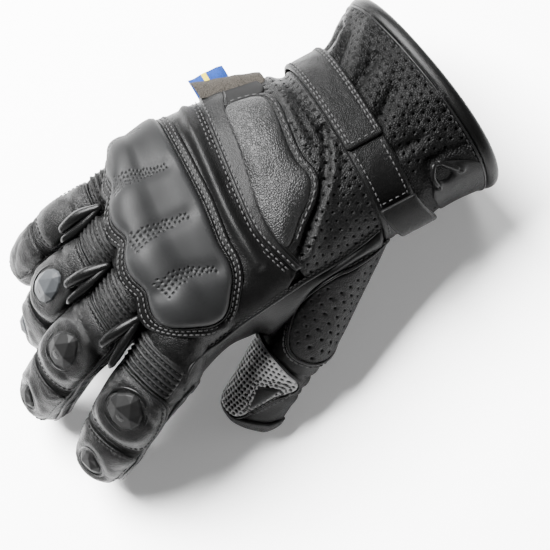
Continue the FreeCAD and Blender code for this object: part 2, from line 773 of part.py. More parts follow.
def build_strap():
    """The strap over the wrist, the tongue it closes on, and their hook and loop patches."""
    low = "1.2"
    tongue_top = f"{low} + 1.2"
    band("strap_anchor", low, f"{low} + Dims.strap_thickness", "anchor_start_angle",
         "Dims.anchor_span_angle")
    band("strap_landing", low, tongue_top, "landing_start_angle", "Dims.landing_span_angle")
    dimensions_of_patch = "Dims.strap_start_angle + Dims.strap_span_angle - Dims.landing_start_angle"
    band("strap_loop_patch", f"{tongue_top} + 0.2", f"{tongue_top} + 0.8",
         "landing_start_angle", dimensions_of_patch)
    band("strap_hook_patch", f"{tongue_top} + 1.0", f"{tongue_top} + 1.6",
         "landing_start_angle", dimensions_of_patch)
    strap_low = f"{tongue_top} + 1.8"
    band("wrist_strap", strap_low, f"{strap_low} + Dims.strap_thickness", "strap_start_angle",
         "Dims.strap_span_angle")


def build_strap_tail():
    """The tongue's end, folded back on itself and stitched, proud of the thumb side."""
    body = doc.addObject("PartDesign::Body", "tail_body")
    sketch = polygon_sketch(body, "tail_outline", "XZ_Plane", [
        (0, 0), ("Dims.tail_high", "Dims.tail_long * 0.3"),
        ("Dims.tail_high * 0.9", "Dims.tail_long"), ("Dims.tail_high * 0.5", "Dims.tail_long"),
        ("Dims.tail_high * 0.45", "Dims.tail_long * 0.5"), (0, "Dims.tail_long * 0.25")])
    pad(body, "tail_pad", sketch, "Dims.strap_width")
    half = size("strap_width") / 2
    body.Placement = Placement(Vector(-44.4, half, 6), Rotation(Y_AXIS, 180))
    node(body, "strap_tail")


build_hand()
build_guard()
build_hand_panels()
build_side_label()
build_ridges()
for finger_name in FINGERS:
    build_finger(finger_name)
    build_stretch_panel(finger_name)
build_thumb()
build_cuff()
build_wrist_panel()
build_strap()
build_strap_tail()
doc.recompute()

# ---------------------------------------------------------------- stand it on the floor
spread = [[], [], []]
for feature in nodes.values():
    for corner in feature.Shape.tessellate(0.1)[0]:
        for axis in range(3):
            spread[axis].append(corner[axis])
seat = Vector(-(min(spread[0]) + max(spread[0])) / 2, -(min(spread[1]) + max(spread[1])) / 2,
              -min(spread[2]))
for feature in nodes.values():
    feature.Placement = Placement(seat, Rotation()).multiply(feature.Placement)
doc.recompute()

# ---------------------------------------------------------------- check, then write
faults = [item.Name for item in doc.Objects if {"Invalid", "Error"} & set(item.State)]
faults += [name for name, item in nodes.items() if item.Shape.isNull() or not item.Shape.isValid()]
if faults:
    raise RuntimeError(f"failed features: {faults}")
os.makedirs("parts", exist_ok=True)
for name, feature in nodes.items():
    feature.Shape.exportStep(f"parts/{name}.step")
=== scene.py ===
import json
import math

import bmesh
import bpy
import numpy as np
from mathutils import Matrix, Vector
from mathutils.geometry import delaunay_2d_cdt

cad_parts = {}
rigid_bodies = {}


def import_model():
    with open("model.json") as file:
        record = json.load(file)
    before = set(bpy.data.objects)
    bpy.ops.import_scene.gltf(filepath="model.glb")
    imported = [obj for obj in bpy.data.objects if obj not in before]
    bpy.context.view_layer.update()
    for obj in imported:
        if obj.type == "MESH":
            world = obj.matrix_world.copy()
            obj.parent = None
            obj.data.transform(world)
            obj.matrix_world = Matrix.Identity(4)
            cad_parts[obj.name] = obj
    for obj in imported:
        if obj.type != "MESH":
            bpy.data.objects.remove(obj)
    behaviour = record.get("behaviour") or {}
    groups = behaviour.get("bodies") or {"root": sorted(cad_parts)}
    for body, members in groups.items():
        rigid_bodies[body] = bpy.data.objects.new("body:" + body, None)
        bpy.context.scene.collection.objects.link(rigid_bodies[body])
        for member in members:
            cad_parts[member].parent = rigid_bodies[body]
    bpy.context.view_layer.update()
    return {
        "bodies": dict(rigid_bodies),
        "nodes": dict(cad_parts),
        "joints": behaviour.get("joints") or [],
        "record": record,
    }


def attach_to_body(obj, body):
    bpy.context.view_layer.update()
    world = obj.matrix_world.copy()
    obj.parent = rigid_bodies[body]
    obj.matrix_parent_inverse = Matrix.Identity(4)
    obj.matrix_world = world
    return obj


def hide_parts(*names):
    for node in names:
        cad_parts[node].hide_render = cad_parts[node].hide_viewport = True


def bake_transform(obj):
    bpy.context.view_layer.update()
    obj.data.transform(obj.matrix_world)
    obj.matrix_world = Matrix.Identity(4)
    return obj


# The looks of a right-hand riding glove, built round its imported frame. Shapes are worked out
# in the hand frame, in millimetres: origin in the middle of the wrist, X to the little finger,
# Y to the fingertips, Z out of the back of the hand. to_row() takes them to the row frame.

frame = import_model()
JOINTS = {joint["name"]: joint for joint in frame["joints"]}
FINGERS = ("index", "middle", "ring", "little")
ARMOURED = ("index", "middle", "ring")

# ---------------------------------------------------------------- the hand frame
flap_axis = np.array(JOINTS["strap_flap"]["axis"])
flap_axis = flap_axis * np.sign(flap_axis[1])
RESTING_PITCH = math.atan2(flap_axis[2], flap_axis[1])
COS, SIN = math.cos(RESTING_PITCH), math.sin(RESTING_PITCH)
TURN = np.array([[1, 0, 0], [0, COS, -SIN], [0, SIN, COS]])
WRIST_FLEX = np.array([0.8, 16, 0])
ORIGIN = np.array(JOINTS["wrist_flex"]["pos_m"]) - TURN @ WRIST_FLEX / 1000


def to_row(points):
    """Hand frame in millimetres to row frame in metres."""
    return ORIGIN + np.atleast_2d(points) @ TURN.T / 1000


def joint_place(name):
    """Where a joint turns, in the hand frame."""
    return (np.array(JOINTS[name]["pos_m"]) - ORIGIN) @ TURN * 1000


def joint_axis(name):
    return np.array(JOINTS[name]["axis"]) @ TURN


# ---------------------------------------------------------------- driving dimensions, mm
# Stations along the hand: place along Y, sideways shift, half width and half height.
STATIONS = np.array([
    (-46, 8.5, 49.5, 34),
    (-38, 8, 48.5, 33.5),
    (-24, 5.8, 45.2, 31.5),
    (-8, 0.8, 42.3, 28.7),
    (10, 0.8, 42, 28.5),
    (22, 1.5, 44, 27.2),
    (42, 3, 47.5, 24.8),
    (66, 2, 49.5, 21.8),
    (98, -1, 48.5, 18.5),
    (118, -2, 47, 16.5)])
# Bend at each joint in degrees, length of each bone zone, half width at root and tip.
FINGER_DATA = {
    "index": (36, 22, 12, 43, 25, 24, 11.5, 10.4),
    "middle": (36, 25, 13, 47, 29, 25, 11.2, 10.2),
    "ring": (37, 31, 17, 44, 27, 25, 10.7, 9.8),
    "little": (23, 24, 16, 35, 20.5, 23.5, 10.2, 9.2),
}
# Where a finger's flex seam crosses its middle bone.
SEAM_SHARE = 0.52
# The thumb's centre line ends here, and its back faces this way.
THUMB_ROOT = (-33, 29, -9)
THUMB_TIP = (-66, 90, -58.5)
THUMB_NAIL_SIDE = np.array((-0.72, -0.1, 0.69))
# The hand's skin runs from -SKIN_HALF to SKIN_HALF across, whatever its girth.
SKIN_HALF = 125
SQUARENESS = 2.25
# How far the thumb's and the little finger's sides stand from the hand's middle.
SIDE_X = 48.0
CUFF_SLANT = 0.13
# The knuckle end closes to a rounded nose between these two rows.
NOSE_START = 94
NOSE_END = 117
# The skins' own tables: spacing along them, and steps round half of each of the hand's rows.
ROW_STEP = 0.5
TURN_STEPS = 240
SHARE_STEPS = 120
# Mesh spacing, rows of a triangle grid, sides of a punched hole, and how far apart holes are.
CELL = 1.25
ROW_SHARE = 0.866
HOLE_SIDES = 8
HOLE_PITCH = 4.3
# Cloth that blows the padded pieces up, and how often its moves are averaged afterwards.
CLOTH_PRESSURE = 4
CLOTH_FRAMES = 20
CLOTH_EVENING = 30


def smooth_step(x):
    x = np.clip(x, 0, 1)
    return x * x * (3 - 2 * x)


def soft_line(at, places, values, reach):
    """Straight runs between places, with their corners eased over reach."""
    offsets = np.linspace(-1.6, 1.6, 17)
    weights = np.exp(-offsets ** 2)
    at = np.asarray(at, float)
    total = sum(w * np.interp(at + o * reach, places, values) for w, o in zip(weights, offsets))
    return total / weights.sum()


def bilinear(table, row, column):
    """A table read between its rows and columns."""
    row = np.clip(row, 0, table.shape[0] - 1.001)
    column = np.clip(column, 0, table.shape[1] - 1.001)
    i, j = row.astype(int), column.astype(int)
    p, q = row - i, column - j
    near = table[i, j] * (1 - q) + table[i, j + 1] * q
    far = table[i + 1, j] * (1 - q) + table[i + 1, j + 1] * q
    return near * (1 - p) + far * p


def signed_power(x, power):
    """A power that keeps the sign."""
    return np.sign(x) * np.abs(x) ** power


def unit(v):
    v = np.asarray(v, float)
    return v / np.maximum(np.linalg.norm(v, axis=-1, keepdims=True), 1e-9)


def joined(*columns):
    """Columns of numbers side by side, as rows of points."""
    return np.stack(columns, axis=-1)


def looked_up(at, places, table):
    """Rows of a table, known at places, read off in between."""
    return joined(*(np.interp(at, places, column) for column in table.T))


def looped(line):
    """A closed line with its first point again at the end."""
    return np.concatenate([line, line[:1]])


def quads(rows, columns, closed=True, endless=False):
    """Faces of a grid of points: closed joins each row's ends, endless the last row to the first."""
    faces = []
    for row in range(rows if endless else rows - 1):
        here, ahead = row * columns, (row + 1) % rows * columns
        for c in range(columns if closed else columns - 1):
            d = (c + 1) % columns
            faces.append((here + c, here + d, ahead + d, ahead + c))
    return faces


def flipped(face):
    """A face turned over, from the same first corner."""
    return face[:1] + face[:0:-1]


def tube(rows, columns, clockwise=False):
    """Faces of a tube of rings with a lid on each end."""
    first, last = tuple(range(columns)), tuple(range((rows - 1) * columns, rows * columns))
    if clockwise:
        return [flipped(face) for face in quads(rows, columns)] + [first, last[::-1]]
    return quads(rows, columns) + [first[::-1], last]


def lengths_along(line):
    """How far along a line each of its points is."""
    return np.concatenate([[0], np.cumsum(np.linalg.norm(np.diff(line, axis=0), axis=1))])


# ---------------------------------------------------------------- skins
class Skin:
    """A surface in the hand frame. u runs across it and v along it, both in millimetres."""

    def normal(self, u, v):
        reach = 0.4
        across = self.point(u + reach, v) - self.point(u - reach, v)
        along = self.point(u, v + reach) - self.point(u, v - reach)
        return unit(np.cross(across, along))

    def lifted(self, uv, height=0.0):
        uv = np.atleast_2d(np.asarray(uv, float))
        height = np.broadcast_to(np.asarray(height, float), (len(uv),))
        return self.point(uv[:, 0], uv[:, 1]) + self.normal(uv[:, 0], uv[:, 1]) * height[:, None]


class HandSkin(Skin):
    """The hand and cuff. u = 0 is the middle of the back, u = +-SKIN_HALF the middle of the palm."""

    def __init__(self):
        self.rows = np.arange(STATIONS[0, 0], NOSE_END + 0.01, ROW_STEP)
        turns = np.linspace(0, math.pi, TURN_STEPS + 1)
        self.share_of_turn, self.turn_of_share = [], []
        for row in self.rows:
            _, a, b = self.halves(np.array([row]))
            x, z = self.ring(turns, a, b)
            lengths = np.concatenate([[0], np.cumsum(np.hypot(np.diff(x), np.diff(z)))])
            lengths = lengths / lengths[-1]
            self.share_of_turn.append(lengths)
            self.turn_of_share.append(np.interp(np.linspace(0, 1, SHARE_STEPS + 1), lengths, turns))
        self.share_of_turn = np.array(self.share_of_turn)
        self.turn_of_share = np.array(self.turn_of_share)

    def halves(self, v):
        """Shift, half width and half height at v, closing to a rounded nose at the fingers."""
        shift, a, b = (soft_line(v, STATIONS[:, 0], STATIONS[:, k], 5) for k in (1, 2, 3))
        into_nose = np.clip((v - NOSE_START) / (NOSE_END - NOSE_START), 0, 0.995)
        return shift, a * (1 - 0.12 * into_nose ** 2), b * np.sqrt(1 - into_nose ** 2)

    @staticmethod
    def ring(turn, a, b):
        power = 2 / SQUARENESS
        return a * signed_power(np.sin(turn), power), b * signed_power(np.cos(turn), power)

    @staticmethod
    def setback(x, v):
        """How far the knuckle line falls back either side, and how the cuff's rim slants."""
        fall = soft_line(x, (-50, -36, -12, 0, 12, 24, 34, 48), (6, 4, 0, 1.5, 5, 10, 16, 20), 3)
        return fall * smooth_step((v - 66) / 51) - CUFF_SLANT * (x + 10) * smooth_step((-8 - v) / 32)

    def point(self, u, v):
        u = np.asarray(u, float)
        v = np.asarray(v, float)
        share = (u / SKIN_HALF + 1) % 2 - 1
        row = (v - self.rows[0]) / ROW_STEP
        turn = bilinear(self.turn_of_share, row, np.abs(share) * SHARE_STEPS) * np.sign(share)
        shift, a, b = self.halves(v)
        x, z = self.ring(turn, a, b)
        hollow = 0.17 * np.exp(-((x - 4) / 22) ** 2) * smooth_step((v - 24) / 20) * (z < 0)
        x = x + shift
        return joined(x, v - self.setback(x, v), z * (1 - hollow))

    def share(self, turn, v):
        row = (v - self.rows[0]) / ROW_STEP
        return bilinear(self.share_of_turn, row, np.abs(turn) / math.pi * TURN_STEPS) * np.sign(turn)

    def dorsal(self, points):
        """(x, y) as seen from above the back of the hand, to (u, v)."""
        x, y = np.asarray(points, float).T
        v = y.copy()
        for _ in range(8):
            v = y + self.setback(x, v)
        shift, a, _ = self.halves(v)
        reach = np.clip((x - shift) / a, -0.9999, 0.9999)
        turn = np.arcsin(signed_power(reach, SQUARENESS / 2))
        return joined(self.share(turn, v) * SKIN_HALF, v)

    def flank(self, points, side):
        """(y, z) as seen from one side, -1 for the thumb's and 1 for the little finger's."""
        y, z = np.asarray(points, float).T
        v = y.copy()
        for _ in range(8):
            v = y + self.setback(np.full_like(y, SIDE_X * side), v)
        _, _, b = self.halves(v)
        reach = np.clip(z / b, -0.9999, 0.9999)
        turn = np.arccos(signed_power(reach, SQUARENESS / 2)) * side
        return joined(self.share(turn, v) * SKIN_HALF, v)


class Tube(Skin):
    """A sleeve round a bent centre line. u = 0 is its back, v runs from the root to the tip."""

    def __init__(self, stops, centre, across, back, wide, high, end, squareness=2.2, dome=11):
        self.stops, self.centre, self.across, self.back = stops, centre, across, back
        self.wide, self.high, self.end = wide, high, end
        self.squareness, self.dome = squareness, dome
        self.fuller = (np.ones_like(stops), np.ones_like(stops))

    def along(self, table, v):
        return looked_up(v, self.stops, table)

    def point(self, u, v):
        u, v = np.broadcast_arrays(np.asarray(u, float), np.asarray(v, float))
        wide = np.interp(v, self.stops, self.wide)
        high = np.interp(v, self.stops, self.high)
        turn = u * 2 / (wide + high)
        into_dome = np.clip((v - self.end + self.dome) / self.dome, 0, 0.998)
        close = (1 - into_dome ** 2.4) ** (1 / 2.4)
        power = 2 / self.squareness
        x = wide * close * signed_power(np.sin(turn), power)
        x = x * np.where(x < 0, *(np.interp(v, self.stops, table) for table in self.fuller))
        z = high * close * signed_power(np.cos(turn), power)
        return (self.along(self.centre, v) + unit(self.along(self.across, v)) * x[..., None]
            + unit(self.along(self.back, v)) * z[..., None])

    def half_round(self, v):
        """Half of the way round, from the back to the palm side."""
        return math.pi / 2 * (np.interp(v, self.stops, self.wide) + np.interp(v, self.stops, self.high))


class Finger(Tube):
    ROOT = -18
    FLATNESS = 0.93
    ROOT_HIGH = {"index": 12.6, "middle": 13.2, "ring": 13.2, "little": 13.6}
    FULLER = {"index": 1.72, "middle": 1.42, "ring": 1.2, "little": 1.0}

    def __init__(self, name):
        bend_a, bend_b, bend_c, bone_a, bone_b, bone_c, half_root, half_tip = FINGER_DATA[name]
        self.name, self.bone_a, self.bone_b, self.bone_c = name, bone_a, bone_b, bone_c
        self.seam = bone_a + bone_b * SEAM_SHARE
        end = bone_a + bone_b + bone_c
        across = joint_axis(f"{name}_knuckle")
        across = across * np.sign(across[0])
        ahead = np.array([-across[1], across[0], 0])
        stops = np.arange(self.ROOT, end + 2, ROW_STEP)
        slope = np.zeros_like(stops)
        for place, bend in ((0, bend_a), (bone_a, bend_b), (bone_a + bone_b, bend_c)):
            slope += math.radians(bend) * smooth_step((stops - place + 8) / 16)
        run = ahead * np.cos(slope)[:, None] - np.array([0, 0, 1]) * np.sin(slope)[:, None]
        back = ahead * np.sin(slope)[:, None] + (0, 0, 1) * np.cos(slope)[:, None]
        centre = np.cumsum(run, axis=0) * ROW_STEP
        knuckle = int(round(-self.ROOT / ROW_STEP))
        centre = centre - centre[knuckle] + joint_place(f"{name}_knuckle")
        places = (self.ROOT, 0, 9, 20, bone_a, end - 12, end)
        wide = soft_line(stops, places, (11.5, 12.2, 12, half_root, half_root * 0.99, half_tip,
                half_tip * 0.94), 4)
        root_high = self.ROOT_HIGH[name]
        flat = self.FLATNESS
        high = soft_line(stops, places, (root_high - 2, root_high, root_high - 0.8,
                half_root * flat * 1.04, half_root * flat, half_tip * flat, half_tip * flat * 0.94), 4)
        super().__init__(stops, centre, np.tile(across, (len(stops), 1)), back, wide, high, end)
        full = self.FULLER[name]
        self.fuller = (soft_line(stops, (-6, 14, end - 24, end), (1, full, 1 + (full - 1) * 0.8, 1.04),
                5), np.ones_like(stops) * 1.02)


class Thumb(Tube):
    ROOT = -14

    def __init__(self):
        knuckle, middle = joint_place("thumb_knuckle"), joint_place("thumb_middle")
        points = np.array([THUMB_ROOT, knuckle, middle, THUMB_TIP], float)
        before = points[0] - unit(points[1] - points[0]) * 16
        points = np.concatenate([[before], points])
        gaps = np.linalg.norm(np.diff(points, axis=0), axis=1)
        places = np.concatenate([[-16], np.cumsum(gaps) - 16])
        self.knuckle, self.middle, end = places[2], places[3], places[4]
        stops = np.arange(self.ROOT, end + 2, ROW_STEP)
        centre = joined(*(soft_line(stops, places, column, 5) for column in points.T))
        run = unit(np.gradient(centre, axis=0))
        back = unit(THUMB_NAIL_SIDE - run * (run @ THUMB_NAIL_SIDE)[:, None])
        across = np.cross(run, back)
        half = soft_line(stops, (self.ROOT, 0, self.knuckle, self.middle, end),
            (18.6, 17.6, 14.4, 12.6, 11), 5)
        super().__init__(stops, centre, across, back, half, half * 0.9, end, 2.5, 10)
        self.fuller = (soft_line(stops, (self.knuckle - 6, self.middle, end), (1, 0.95, 0.82), 5),
            soft_line(stops, (self.knuckle - 6, self.middle, end), (1, 1.25, 1.5), 5))


HAND = HandSkin()
FINGER = {name: Finger(name) for name in FINGERS}
THUMB = Thumb()


# ---------------------------------------------------------------- outlines and lines
def trace(outline):
    """Straight sides and (middle, end) arcs to evenly spaced points of a closed line."""
    points = [np.array(outline[0], float)]
    for item in list(outline[1:]) + [outline[0]]:
        start = points[-1]
        if np.ndim(item[0]) == 0:
            points.append(np.array(item, float))
            continue
        middle, end = (np.array(p, float) for p in item)
        for t in np.linspace(0, 1, 9)[1:]:
            points.append(start * (1 - t) * (1 - 2 * t) + middle * 4 * t * (1 - t)
                + end * t * (2 * t - 1))
    return spread(np.array(points), CELL)[:-1]


def spread(line, spacing):
    """The same line with evenly spaced points, both ends kept."""
    line = np.asarray(line, float)
    places = lengths_along(line)
    count = max(2, int(round(places[-1] / spacing)) + 1)
    at = np.linspace(0, places[-1], count)
    return looked_up(at, places, line)


def spread_closed(outline, spacing):
    return spread(looped(outline), spacing)[:-1]


def curve(points, spacing=1.0, closed=False):
    """A smooth line through a few points."""
    p = np.asarray(points, float)
    before, after = (p[-1:], p[:2]) if closed else ([2 * p[0] - p[1]], [2 * p[-1] - p[-2]])
    p = np.concatenate([before, p, after])
    t = np.linspace(0, 1, 13)[:-1, None]
    runs = [0.5 * (2 * b + (c - a) * t + (2 * a - 5 * b + 4 * c - d) * t ** 2
            + (3 * b - a - 3 * c + d) * t ** 3) for a, b, c, d in zip(p[:-3], p[1:-2], p[2:-1], p[3:])]
    line = spread(np.concatenate(runs + [p[-2:-1]]), spacing)
    return line[:-1] if closed else line


def inside(points, polygon):
    """Which points are inside a closed outline."""
    x, y = points[:, :1], points[:, 1:2]
    x0, y0 = polygon.T
    x1, y1 = np.roll(polygon, -1, axis=0).T
    reach = (x1 - x0) * (y - y0) / np.where(y1 == y0, 1e-9, y1 - y0) + x0
    crosses = ((y0 > y) != (y1 > y)) & (x < reach)
    return crosses.sum(axis=1) % 2 == 1


def distance(points, line, closed=False):
    """How far each point is from a line of points."""
    starts = line if closed else line[:-1]
    runs = (np.roll(line, -1, axis=0) if closed else line[1:]) - starts
    best = np.full(len(points), 1e9)
    for start, run in zip(starts, runs):
        t = np.clip((points - start) @ run / max(run @ run, 1e-9), 0, 1)
        best = np.minimum(best, np.linalg.norm(points - start - t[:, None] * run, axis=1))
    return best


def groove(points, line, width, depth):
    """A soft channel of that depth along a line; a negative depth makes a ridge."""
    return -depth * np.exp(-(distance(points, np.asarray(line, float)) / width) ** 2)


# ---------------------------------------------------------------- meshes
def evened(moves, edges, pinned):
    """Moves of a mesh's corners, each averaged with its neighbours many times; pinned ones stay put."""
    first, second = edges.T
    neighbours = np.ones(len(moves))
    np.add.at(neighbours, first, 1)
    np.add.at(neighbours, second, 1)
    for _ in range(CLOTH_EVENING):
        total = moves.copy()
        np.add.at(total, first, moves[second])
        np.add.at(total, second, moves[first])
        moves = total / neighbours[:, None]
        moves[pinned] = 0
    return moves


def plump(piece, pinned, swell):
    """Blow a padded piece up with Blender's cloth, its seam held, till its top rises by swell mm."""
    flat = np.empty(len(piece.data.vertices) * 3)
    piece.data.vertices.foreach_get("co", flat)
    seam = piece.vertex_groups.new(name="seam")
    seam.add([int(k) for k in pinned], 1.0, "REPLACE")
    cloth = piece.modifiers.new("cloth", "CLOTH")
    cloth.settings.vertex_group_mass = "seam"
    cloth.settings.quality = 4
    cloth.settings.use_pressure = True
    cloth.settings.uniform_pressure_force = CLOTH_PRESSURE
    cloth.settings.effector_weights.gravity = 0
    cloth.point_cache.frame_end = CLOTH_FRAMES
    scene = bpy.context.scene
    for frame in range(1, CLOTH_FRAMES + 1):
        scene.frame_set(frame)
    blown = np.empty_like(flat)
    mesh = piece.evaluated_get(bpy.context.evaluated_depsgraph_get()).data
    mesh.vertices.foreach_get("co", blown)
    edges = np.empty(len(piece.data.edges) * 2, np.int32)
    piece.data.edges.foreach_get("vertices", edges)
    moves = evened((blown - flat).reshape(-1, 3), edges.reshape(-1, 2), pinned)
    longest = np.linalg.norm(moves, axis=1).max()
    if 0 < longest < 1:
        piece.data.vertices.foreach_set("co", flat + (moves * swell / 1000 / longest).ravel())
    piece.modifiers.remove(cloth)
    piece.vertex_groups.remove(seam)
    scene.frame_set(1)


def build(name, points, faces, material, body, tints=None, smooth=True, pinned=None, swell=0.0,
          stands=()):
    """A mesh from hand-frame points, riding on a body; given a pair of bodies, it only has its
    transform baked.
    """
    mesh = bpy.data.meshes.new(name)
    mesh.from_pydata(to_row(points).tolist(), [], faces)
    materials = material if isinstance(material, (list, tuple)) else [material]
    for key in materials:
        mesh.materials.append(M[key])
    if tints is not None:
        mesh.polygons.foreach_set("material_index", np.asarray(tints, np.int32))
    mesh.polygons.foreach_set("use_smooth", np.full(len(mesh.polygons), smooth))
    mesh.validate()
    piece = bpy.data.objects.new(name, mesh)
    bpy.context.scene.collection.objects.link(piece)
    if swell:
        plump(piece, pinned, swell)
    attach(piece, body)
    if stands:
        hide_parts(*stands)
    return piece


def attach(piece, body):
    """body is a name, or (body, next body, start, end) for a piece between two; such a piece only has
    its transform baked and rides on neither.
    """
    if isinstance(body, str):
        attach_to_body(piece, body)
        return
    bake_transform(piece)


def bend_at(first, second, place, run, reach):
    run = unit(run) * reach
    return (first, second, place - run, place + run)


def finger_bend(name, joint):
    """Where a finger's knuckle or middle joint bends the leather."""
    skin = FINGER[name]
    if joint == "knuckle":
        return bend_at("hand", f"{name}_base", joint_place(f"{name}_knuckle") + (0, 3, 0),
            skin.along(skin.centre, 16) - skin.along(skin.centre, -4), 11)
    return bend_at(f"{name}_base", f"{name}_tip", joint_place(f"{name}_middle"),
        skin.along(skin.centre, skin.seam + 4) - skin.along(skin.centre, skin.seam - 4), 8)


WRIST_BEND = ("cuff", "hand", WRIST_FLEX - (0, 8, 0), WRIST_FLEX + (0, 8, 0))


def thumb_bend(joint):
    knuckle = joint == "knuckle"
    bodies = ("hand", "thumb_base") if knuckle else ("thumb_base", "thumb_tip")
    at = THUMB.knuckle if knuckle else THUMB.middle
    return bend_at(*bodies, joint_place(f"thumb_{joint}"),
        THUMB.along(THUMB.centre, at + 5) - THUMB.along(THUMB.centre, at - 5), 9)


def sleeve(name, skin, us, vs, height, material, body, cap=False, stands=()):
    """A grid right round a skin; height, a number or height(uv), lifts it. cap closes its far end."""
    columns, rows = len(us), len(vs)
    u, v = (grid.ravel() for grid in np.meshgrid(us, vs))
    uv = joined(u, v)
    points = skin.lifted(uv, height(uv) if callable(height) else height)
    faces = quads(rows, columns)
    if cap:
        faces.append(tuple(range((rows - 1) * columns, rows * columns)))
    return build(name, points, faces, material, body, stands=stands)


def patch(name, skin, outline, material, body, level=0.0, rise=0.0, edge=0.8, crown=0.0,
          crown_reach=12.0, skirt=1.6, holes=None, hole_radius=0.5, hole_depth=1.3, shape=None,
          cell=CELL, solid=False, swell=0.0, lift=None, stands=()):
    """A cut panel laid on a skin: rounded rim, skirt sunk under its rim, pressed or punched holes.
    level is its rim's height, rise how far the flat stands over the rim, crown its pillow swell;
    shape(uv) adds folds, lift(uv) raises rim and all. A solid panel has an underside too."""
    rim = spread_closed(outline, cell)
    area = np.sum(rim[:, 0] * np.roll(rim[:, 1], -1) - rim[:, 1] * np.roll(rim[:, 0], -1))
    if area < 0:
        rim = rim[::-1]
    low, high = rim.min(axis=0), rim.max(axis=0)
    xs = np.arange(low[0], high[0], cell)
    ys = np.arange(low[1], high[1], cell * ROW_SHARE)
    grid = np.stack(np.meshgrid(xs, ys), axis=-1)
    grid[1::2, :, 0] += cell / 2
    grid = grid.reshape(-1, 2)
    grid = grid[inside(grid, rim)]
    grid = grid[distance(grid, rim, True) > max(cell * 0.6, edge * 1.25)]
    run = np.roll(rim, -1, axis=0) - np.roll(rim, 1, axis=0)
    inward = unit(joined(-run[:, 1], run[:, 0]))
    loops = [rim]
    for share in (0.3, 1.0):
        loop = rim + inward * edge * share
        near = distance(loop, rim, True)
        loops.append(loop[(near > edge * share * 0.8) & inside(loop, rim)])
    flat = np.concatenate(loops + [grid])
    hole_at = len(flat)
    constraints = [(k, (k + 1) % len(rim)) for k in range(len(rim))]
    if holes is not None and len(holes):
        around = np.arange(HOLE_SIDES) * 2 * math.pi / HOLE_SIDES
        circle = joined(np.cos(around), np.sin(around)) * hole_radius
        keep = np.ones(len(flat), bool)
        keep[len(rim):] = distance_to_set(flat[len(rim):], holes) > hole_radius * 1.45
        flat = flat[keep]
        hole_at = len(flat)
        rings = (holes[:, None, :] + circle[None]).reshape(-1, 2)
        floors = (holes[:, None, :] + circle[None] * 0.8).reshape(-1, 2)
        flat = np.concatenate([flat, rings, floors])
        starts = hole_at + HOLE_SIDES * np.arange(len(holes))
        constraints += [(int(s) + k, int(s) + (k + 1) % HOLE_SIDES) for s in starts
            for k in range(HOLE_SIDES)]
    out = delaunay_2d_cdt([Vector(p) for p in flat], constraints, [], 0, 1e-5)
    faces = np.array([tuple(face) for face in out[2]])
    flat = np.array([tuple(p) for p in out[0]])
    origin = np.array([source[0] if source else 0 for source in out[3]])
    faces = faces[inside(flat[faces].mean(axis=1), rim)]
    near = distance(flat, rim, True)
    rounding = np.sqrt(1 - (1 - np.clip(near / edge, 0, 1)) ** 2)
    height = level + rise * rounding + crown * (1 - (1 - np.clip(near / crown_reach, 0, 1)) ** 2)
    if shape is not None:
        height = height + shape(flat) * smooth_step(near / (2 * edge))
    if lift is not None:
        height = height + lift(flat)
    tints = np.zeros(len(faces), int)
    if holes is not None and len(holes):
        floor = origin >= hole_at + HOLE_SIDES * len(holes)
        height = height - hole_depth * floor
        tints = floor[faces].any(axis=1).astype(int)
    points = skin.lifted(flat, height)
    edges_of = {}
    for a, b, c in faces:
        for edge_key in ((a, b), (b, c), (c, a)):
            edges_of[edge_key] = True
    border = [key for key in edges_of if (key[1], key[0]) not in edges_of]
    under = np.arange(len(flat)) if solid else np.unique(np.array(border))
    low_index = dict(zip(under.tolist(), range(len(points), len(points) + len(under))))
    points = np.concatenate([points, skin.lifted(flat[under], level - skirt)])
    extra = [(b, a, low_index[a], low_index[b]) for a, b in border]
    if solid:
        extra += [(low_index[a], low_index[c], low_index[b]) for a, b, c in faces.tolist()]
    tints = np.concatenate([tints, np.zeros(len(extra), int)])
    pinned = np.concatenate([np.flatnonzero(near < edge * 1.2), np.arange(len(flat), len(points))])
    return build(name, points, [tuple(f) for f in faces.tolist()] + extra, material, body, tints,
        pinned=pinned, swell=swell, stands=stands)


def rumple(uv, size, seed):
    """Smooth seeded noise from -1 to 1 over a skin, with humps of about that size."""
    table = np.random.RandomState(seed).uniform(-1, 1, (64, 64))
    total = np.zeros(len(uv))
    for octave, share in ((1.0, 0.7), (2.1, 0.3)):
        place = np.asarray(uv) * octave / size + 17.3 * octave
        low = np.floor(place).astype(int)
        x, y = smooth_step(place - low).T
        i, j = low.T
        total += share * ((table[i % 64, j % 64] * (1 - x) + table[(i + 1) % 64, j % 64] * x) * (1 - y)
            + (table[i % 64, (j + 1) % 64] * (1 - x) + table[(i + 1) % 64, (j + 1) % 64] * x) * y)
    return total


def creased(uv, size, seed):
    """Crumpled leather: soft plateaus from 0 down to -1 in sharp irregular creases."""
    return -np.exp(-np.abs(rumple(uv, size, seed)) / 0.09)


def grown(outline, by):
    """An outline moved outwards by so much, or inwards where by is negative."""
    run = unit(np.roll(outline, -1, axis=0) - np.roll(outline, 1, axis=0))
    area = np.sum(outline[:, 0] * np.roll(outline[:, 1], -1)
        - outline[:, 1] * np.roll(outline[:, 0], -1))
    moved = outline + joined(run[:, 1], -run[:, 0]) * by * np.sign(area)
    moved = moved[distance(moved, outline, True) > abs(by) * 0.97]
    return spread_closed(moved, CELL)


def softened(outline, times=4):
    """A closed outline with its corners rounded off."""
    for _ in range(times):
        outline = (np.roll(outline, 1, axis=0) + 2 * outline + np.roll(outline, -1, axis=0)) / 4
    return outline


def lattice(low, high, pitch):
    """Staggered hole centres over a box."""
    xs = np.arange(low[0], high[0], pitch)
    ys = np.arange(low[1], high[1], pitch * ROW_SHARE)
    grid = np.stack(np.meshgrid(xs, ys), axis=-1)
    grid[1::2, :, 0] += pitch / 2
    return grid.reshape(-1, 2)


